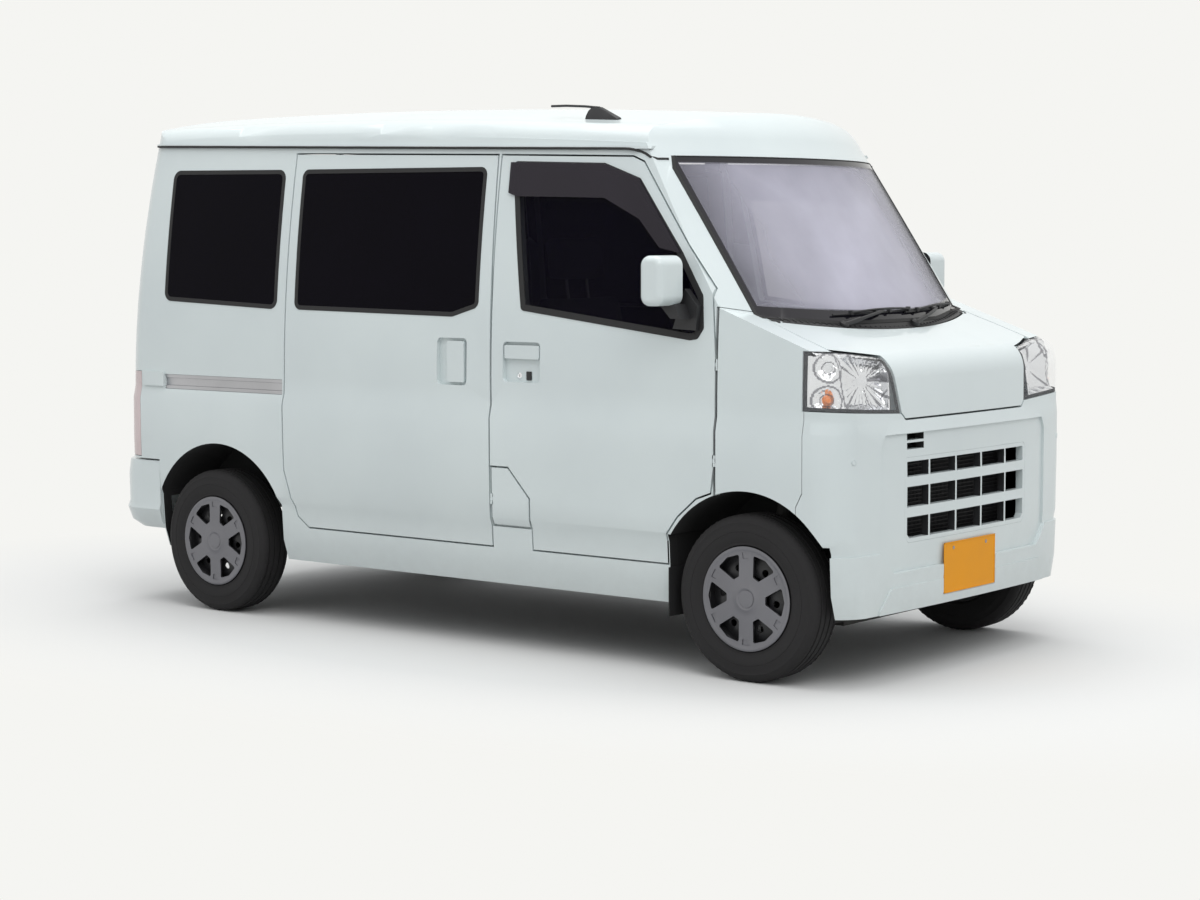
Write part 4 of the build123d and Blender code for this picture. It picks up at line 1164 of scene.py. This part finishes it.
bezelShape = [(0.0004, -0.0080), (0.0004, -0.0044), (0.0105, -0.0046), (0.0110, -0.0080)]


def makeBezels(profile):
    rings = [ringPart(loop, profile) for loop in outlineLoops(skins["headlamp_lenses"], lampOutward, 0.35)]
    addPart("lampBezels", joined(rings), "lampBezel")


# small parts on the skin: door locks with their buttons, and round sensors in the front bumper
smallParts = {
    "lockAt": (0.364, -0.7075, 0.943),
    "lock": [(0.0, 0.0), (0.0105, 0.0), (0.0105, 0.003), (0.0084, 0.0045), (0.00756, 0.0032), (0.0, 0.0030)],
    "slit": ((0.3632, -0.7111, 0.9388), (0.3648, -0.7095, 0.9472)),
    "button": ((0.394, -0.7125, 0.928), (0.416, -0.7065, 0.958)),
    "sensorAt": (1.6612, -0.6540, 0.715), "sensorTurn": 18.0,
    "sensor": [
        (0.0, -0.004), (0.0095, -0.004), (0.0095, 0.0012), (0.00817, 0.0020), (0.0076, 0.0008), (0.00665, 0.0018),
        (0.0, 0.0022),
    ],
}


def makeSmallParts(s):
    lock = turnedPart(s["lock"], s["lockAt"], (0, -1, 0), 32)
    makePairs([
        ("lockBarrel", lock, "chrome", "steel"),
        ("lockSlit", boxPart(*s["slit"], 0.0002), "blackPlastic", "black_plastic"),
        ("doorButton", boxPart(*s["button"], 0.0022), "blackGloss", "black_plastic"),
    ], ("front_door_right", "front_door_left"))
    turn = math.radians(s["sensorTurn"])
    disc = turnedPart(s["sensor"], s["sensorAt"], (math.cos(turn), -math.sin(turn), 0), 32)
    makePairs([("sensorDisc", disc, "paint", "paint")])


# roof antenna: a low wedge and a tapering rod laid back
antennaSizes = {
    "y": -0.500, "x": (0.490, 0.631), "half": (0.0120, 0.0055), "tall": 0.043, "sink": 0.004,
    "shape": [
        (0.00, 0.00), (0.015, 0.34), (0.07, 0.72), (0.16, 0.93), (0.30, 1.00), (0.46, 0.93), (0.66, 0.66),
        (0.86, 0.36), (0.97, 0.20), (1.00, 0.00),
    ],
    "row": (-1, -0.55, 0, 0.55, 1), "round": 0.10,
    "rod": [(0.545, 0.88), (0.480, 0.96), (0.400, 0.98), (0.335, 0.93)], "radius": 0.0042,
}


def roofHeight(x, y):
    return met(skins["roof"], (x, y, 2.2), (0, 0, -1)).z


def makeAntenna(s):
    (x0, x1), (wide, narrow), sink = s["x"], s["half"], s["sink"]
    rings = []
    for along, high in s["shape"]:
        x = x0 + (x1 - x0) * along
        half = wide + (narrow - wide) * high
        ground = {side: roofHeight(x, s["y"] + side * wide) for side in s["row"]}
        ring = []
        for side in s["row"]:
            crown = high * (1 - s["round"] * side * side)
            ring.append((x, s["y"] + side * half, ground[side] - sink + (s["tall"] + sink) * crown))
        rings.append(ring + [(x, s["y"] + side * wide, ground[side] - sink * 1.5) for side in (1, -1)])
    addPart("antennaBase", loftPart(rings), "blackPlastic", nodes=["roof_antenna"])
    points = [(x, s["y"], roofHeight(x, s["y"]) + s["tall"] * high) for x, high in s["rod"]]
    addPart("antennaRod", barPart(points, s["radius"], 12), "blackPlastic")


# dark drip strip under the lower edge of the roof
dripSizes = {
    "from": -1.560, "to": 0.930, "step": 0.020, "low": 1.660, "high": 1.800, "rise": 0.001, "leastY": 0.45,
    "radius": 0.0042,
}


def makeDrips(s):
    points = []
    x = s["from"]
    while x <= s["to"]:
        z = s["low"]
        while z < s["high"]:
            hit = met(skins["roof"], (x, -1.2, z), (0, 1, 0))
            if hit and hit.y < -s["leastY"]:
                points.append((x, hit.y, z))
                break
            z += s["rise"]
        x += s["step"]
    heights = [z for x, y, z in points]
    for i in range(3, len(points) - 3):
        x, y, z = points[i]
        points[i] = (x, y, sum(heights[i - 2:i + 3]) / 5)
    makePairs([("dripStrip", barPart(points, s["radius"], 8), "rubber", "rubber")])


# rear details laid on the skins: high stop lamp, plate lamp bar, handle strip and bumper reflectors
rearSizes = {
    "steps": 12, "sink": 0.002, "back": 1.6972, "edge": 0.002, "sharp": 50,
    "parts": [
        ("highStopLamp", "tailgate", (-0.130, 0.130), (1.700, 1.722), 0.007, "lampRed", "tail_lamp"),
        ("plateLampBar", "tailgate", (-0.215, 0.215), (0.838, 0.878), 0.018, "paint", "paint"),
        ("tailgateHandle", "tailgate", (-0.075, 0.075), (0.826, 0.8365), 0.010, "blackPlastic", "black_plastic"),
        ("reflectorRight", "rear_bumper", (-0.590, -0.500), (0.405, 0.435), 0.003, "lampRed", "tail_lamp"),
        ("reflectorLeft", "rear_bumper", (0.500, 0.590), (0.405, 0.435), 0.003, "lampRed", "tail_lamp"),
    ],
}


def makeRearParts(s):
    for name, node, (y0, y1), (z0, z1), stand, finish, slot in s["parts"]:
        rings = []
        for i in range(s["steps"] + 1):
            y = y0 + (y1 - y0) * i / s["steps"]
            ring = []
            for z, outer in ((z0, True), (z1, True), (z1, False), (z0, False)):
                x = met(skins[node], (-2.2, y, z), (1, 0, 0)).x
                ring.append((max(x - stand, -s["back"]) if outer else x + s["sink"], y, z))
            rings.append(ring)
        piece = meshPiece(name, *loftPart(rings), finish, True)
        easeEdges(piece, s["edge"], 2, s["sharp"], False)
        declare(settle(piece), nodeBody[node])


# number plates: pressed rim and two screws, blank
plateSizes = {
    "half": 0.165, "low": 0.255, "high": 0.420, "x": 1.696, "rim": 0.004, "back": 0.0005, "proud": 0.0013,
    "ease": 0.0006, "screwY": 0.105, "screwZ": 0.400, "rearX": -1.659, "rearRise": 0.385,
    "screw": [(0.0, 0.0), (0.006, 0.0), (0.006, 0.0008), (0.0036, 0.0014), (0.0, 0.0014)],
}


def plateParts(s):
    x, half, low, high, rim = (s[k] for k in ("x", "half", "low", "high", "rim"))
    strips = (
        ((-half, low), (half, low + rim)), ((-half, high - rim), (half, high)),
        ((-half, low), (-half + rim, high)), ((half - rim, low), (half, high)),
    )
    frames = [boxPart((x - s["back"], *a), (x + s["proud"], *b), s["ease"]) for a, b in strips]
    screws = [turnedPart(s["screw"], (x, y, s["screwZ"]), (1, 0, 0), 20) for y in (-s["screwY"], s["screwY"])]
    return joined(frames), joined(screws)


def makePlates(s):
    parts = plateParts(s)
    for name, body in (("front", "body"), ("rear", "tailgate")):
        for (verts, faces), label, finish, slot in zip(
            parts, ("PlateRim", "PlateScrews"), ("plateYellow", "steel"), ("plate", "steel")
        ):
            if name == "rear":
                verts = [Vector((s["rearX"] - (v.x - s["x"]), v.y, v.z + s["rearRise"])) for v in verts]
            addPart(name + label, (verts, faces), finish, body)


# seats: each pad is a rounded core, filled out as cloth and then sewn
padSizes = {
    "voxel": 0.018, "round": 60, "pressure": 4.0, "mass": 0.3, "quality": 4, "frames": 20, "cap": 0.012,
    "under": -0.6, "settle": 0.25, "seamDeep": 0.007, "seamWide": 0.0075, "seamFrom": 0.35, "seamRise": 3,
    "pads": {
        "frontCushion": {
            "outline": [(0.866, 0.652), (0.868, 0.716), (0.846, 0.738), (0.480, 0.725), (0.480, 0.652)],
            "y": (-0.578, -0.142), "ease": 0.022, "along": (0.165,), "across": (0.560, 0.700), "axis": "x",
        },
        "frontBack": {
            "outline": [
                (0.457, 0.668), (0.454, 0.745), (0.371, 1.190), (0.352, 1.212), (0.322, 1.208), (0.309, 1.180),
                (0.379, 0.715), (0.383, 0.668),
            ],
            "y": (-0.574, -0.146), "ease": 0.022, "along": (0.150,), "across": (0.830, 0.960, 1.090), "axis": "z",
        },
        "headrest": {
            "outline": [
                (0.364, 1.262), (0.352, 1.385), (0.334, 1.407), (0.300, 1.407), (0.284, 1.385), (0.300, 1.262),
            ],
            "y": (-0.490, -0.230), "ease": 0.018, "along": (), "across": (1.285,), "axis": "z",
        },
        "benchCushion": {
            "outline": [(-0.290, 0.614), (-0.282, 0.726), (-0.300, 0.748), (-0.690, 0.734), (-0.690, 0.614)],
            "y": (-0.550, -0.004), "ease": 0.024, "along": (0.190,), "across": (-0.600, -0.430), "axis": "x",
        },
        "benchBack": {
            "outline": [
                (-0.712, 0.640), (-0.712, 0.750), (-0.792, 1.150), (-0.812, 1.168), (-0.852, 1.168),
                (-0.868, 1.140), (-0.796, 0.700), (-0.792, 0.640),
            ],
            "y": (-0.550, -0.004), "ease": 0.024, "along": (0.190,), "across": (0.830, 0.990), "axis": "z",
        },
    },
}


def padCore(name, p, s):
    core = meshPiece(name, *prismPart(easedOutline(p["outline"], p["ease"] * 0.5), *p["y"]), "seatCloth")
    easeEdges(core, p["ease"], 3, s["round"], False)
    remesh = core.modifiers.new("even", "REMESH")
    remesh.mode = "VOXEL"
    remesh.voxel_size = s["voxel"]
    return settle(core)


# fills a pad out as cloth under pressure; no point moves past the cap, and the underside stays flat
def fillPad(piece, s):
    start = [v.co.copy() for v in piece.data.vertices]
    under = [v.normal.z for v in piece.data.vertices]
    cloth = piece.modifiers.new("fill", "CLOTH")
    cloth.settings.quality = s["quality"]
    cloth.settings.mass = s["mass"]
    cloth.settings.use_pressure = True
    cloth.settings.uniform_pressure_force = s["pressure"]
    cloth.settings.effector_weights.gravity = 0
    cloth.point_cache.frame_start = 1
    cloth.point_cache.frame_end = s["frames"]
    for number in range(1, s["frames"] + 1):
        scene.frame_set(number)
    settle(piece)
    scene.frame_set(1)
    for v, origin, face in zip(piece.data.vertices, start, under):
        move = v.co - origin
        if move.length > s["cap"]:
            move = move.normalized() * s["cap"]
        v.co = origin + move * (s["settle"] if face < s["under"] else 1)
    finer = piece.modifiers.new("finer", "SUBSURF")
    finer.levels = finer.render_levels = 1
    return settle(piece)


# sewn lines pressed into the outer faces
def sewPad(piece, p, s):
    centre = sum(p["y"]) / 2
    for v in piece.data.vertices:
        flat = p["axis"] == "x"
        main, face = (v.co.x, v.normal.z) if flat else (v.co.z, abs(v.normal.x))
        if face < s["seamFrom"]:
            continue
        aside = abs(v.co.y - centre)
        near = [abs(aside - a) for a in p["along"]]
        if not p["along"] or aside < max(p["along"]):
            near += [abs(main - a) for a in p["across"]]
        if near:
            fall = math.exp(-((min(near) / s["seamWide"]) ** 2))
            v.co -= v.normal * s["seamDeep"] * fall * min(1, (face - s["seamFrom"]) * s["seamRise"])
    smoothFaces(piece)


def makeSeats(s):
    for label, p in s["pads"].items():
        pad = padCore(label, p, s)
        fillPad(pad, s)
        sewPad(pad, p, s)
        pair = copyPiece(pad, label + "Left", mirror)
        pad.name = label + "Right"
        node = "rear_bench" if label.startswith("bench") else "front_seats"
        for piece in (pad, pair):
            declare(piece, "body", [node])
        print("pad", label, len(pad.data.polygons))


# hard parts of the seats: headrest posts and recliner covers
seatFrame = {
    "postY": (-0.415, -0.305), "post": 0.006, "postLine": [(0.338, 1.19), (0.330, 1.235), (0.324, 1.29)],
    "cover": [(0.40, 0.655), (0.53, 0.655), (0.51, 0.710), (0.45, 0.775), (0.405, 0.775)], "coverEase": 0.012,
    "coverY": (-0.590, -0.580),
}


def makeSeatFrames(s):
    posts = joined([barPart([(x, y, z) for x, z in s["postLine"]], s["post"], 12) for y in s["postY"]])
    cover = prismPart(easedOutline(s["cover"], s["coverEase"]), *s["coverY"])
    rows = [("headrestPosts", posts, "steel", "steel"), ("reclinerCover", cover, "trimGrey", "black_plastic")]
    makePairs(rows, flat=["reclinerCover"])


makeSeats(padSizes)
makeSeatFrames(seatFrame)
print("seats made")

makeWipers(wiperSizes)
makeCowlSlots(cowlSizes)
makeRadiator(grilleBack)
makeReflectors(reflectorSizes)
makeBezels(bezelShape)
makeAntenna(antennaSizes)
makeDrips(dripSizes)
makeRearParts(rearSizes)
makeSmallParts(smallParts)
makePlates(plateSizes)
print("front and trim made")

# stage: pale floor that fades into the backdrop, soft sky and two soft lamps
stageSettings = {
    "floorSize": 60.0, "floorTone": (0.70, 0.70, 0.69), "floorBounce": (0.50, 0.50, 0.49), "floorRough": 0.9,
    "floorGloss": 0.1, "backdrop": (0.913, 0.913, 0.887), "fadeShape": (0.50, 0.86, 1.0), "fadeFrom": 1.05,
    "fadeOver": 0.75, "skyTop": (1.24, 1.26, 1.28), "skyEdge": (0.36, 0.37, 0.38), "skyLow": (0.28, 0.28, 0.28),
    "lamps": [("key", (5.5, -4.5, 6.5), 150.0, 4.0), ("top", (-0.2, 0.0, 7.0), 190.0, 6.0)],
    "lampAim": (0, 0, 0.8),
}


# one where the camera, a mirror or a pane looks straight at a surface
def seenRays(tree):
    rays = nodeOf(tree, "ShaderNodeLightPath").outputs
    return larger(tree, larger(tree, rays["Is Camera Ray"], rays["Is Glossy Ray"]), rays["Is Transmission Ray"])


def makeFloor(s):
    half = s["floorSize"] / 2
    mesh = bpy.data.meshes.new("floor")
    corners = [(x * half, y * half, 0) for x, y in ((-1, -1), (1, -1), (1, 1), (-1, 1))]
    mesh.from_pydata(corners, [], [(0, 1, 2, 3)])
    mat, tree, shader = newMaterial("floorPale")
    seen = seenRays(tree)
    feed(tree, shader, {
        "Base Color": mixColours(tree, seen, s["floorBounce"], s["floorTone"]), "Roughness": s["floorRough"],
        "Specular IOR Level": s["floorGloss"],
    })
    glow = nodeOf(tree, "ShaderNodeEmission", {"Color": s["backdrop"]})
    length = nodeOf(tree, "ShaderNodeVectorMath", {0: objectCoords(tree, s["fadeShape"])}, operation="LENGTH")
    far = minus(tree, length.outputs["Value"], s["fadeFrom"])
    far = mathOf(tree, "DIVIDE", far, s["fadeOver"], True)
    values = {0: times(tree, far, seen), 1: shader.outputs[0], 2: glow.outputs[0]}
    mix = nodeOf(tree, "ShaderNodeMixShader", values)
    feed(tree, next(n for n in tree.nodes if n.type == "OUTPUT_MATERIAL"), {"Surface": mix.outputs[0]})
    mesh.materials.append(mat)
    addPiece("floor", mesh)


def makeWorld(s):
    world = bpy.data.worlds.new("studio")
    scene.world = world
    world.use_nodes = True
    tree = world.node_tree
    height = axesOf(tree, nodeOf(tree, "ShaderNodeTexCoord").outputs["Generated"])[2]
    height = plus(tree, times(tree, height, 0.5), 0.5)
    sky = rampOf(tree, height, [(0.0, s["skyLow"]), (0.5, s["skyEdge"]), (1.0, s["skyTop"])])
    light = feed(tree, tree.nodes["Background"], {"Color": sky, "Strength": 1.0})
    shown = nodeOf(tree, "ShaderNodeBackground", {"Color": s["backdrop"], "Strength": 1.0})
    values = {0: seenRays(tree), 1: light.outputs[0], 2: shown.outputs[0]}
    mix = nodeOf(tree, "ShaderNodeMixShader", values)
    feed(tree, tree.nodes["World Output"], {"Surface": mix.outputs[0]})


def makeLamps(s):
    for name, place, power, size in s["lamps"]:
        data = bpy.data.lights.new(name, "AREA")
        data.energy = power
        data.size = size
        lamp = addPiece(name, data)
        lamp.location = place
        lamp.rotation_euler = (Vector(s["lampAim"]) - Vector(place)).to_track_quat("-Z", "Y").to_euler()


makeFloor(stageSettings)
makeWorld(stageSettings)
makeLamps(stageSettings)
scene.view_settings.view_transform = "Standard"
print("stage made")
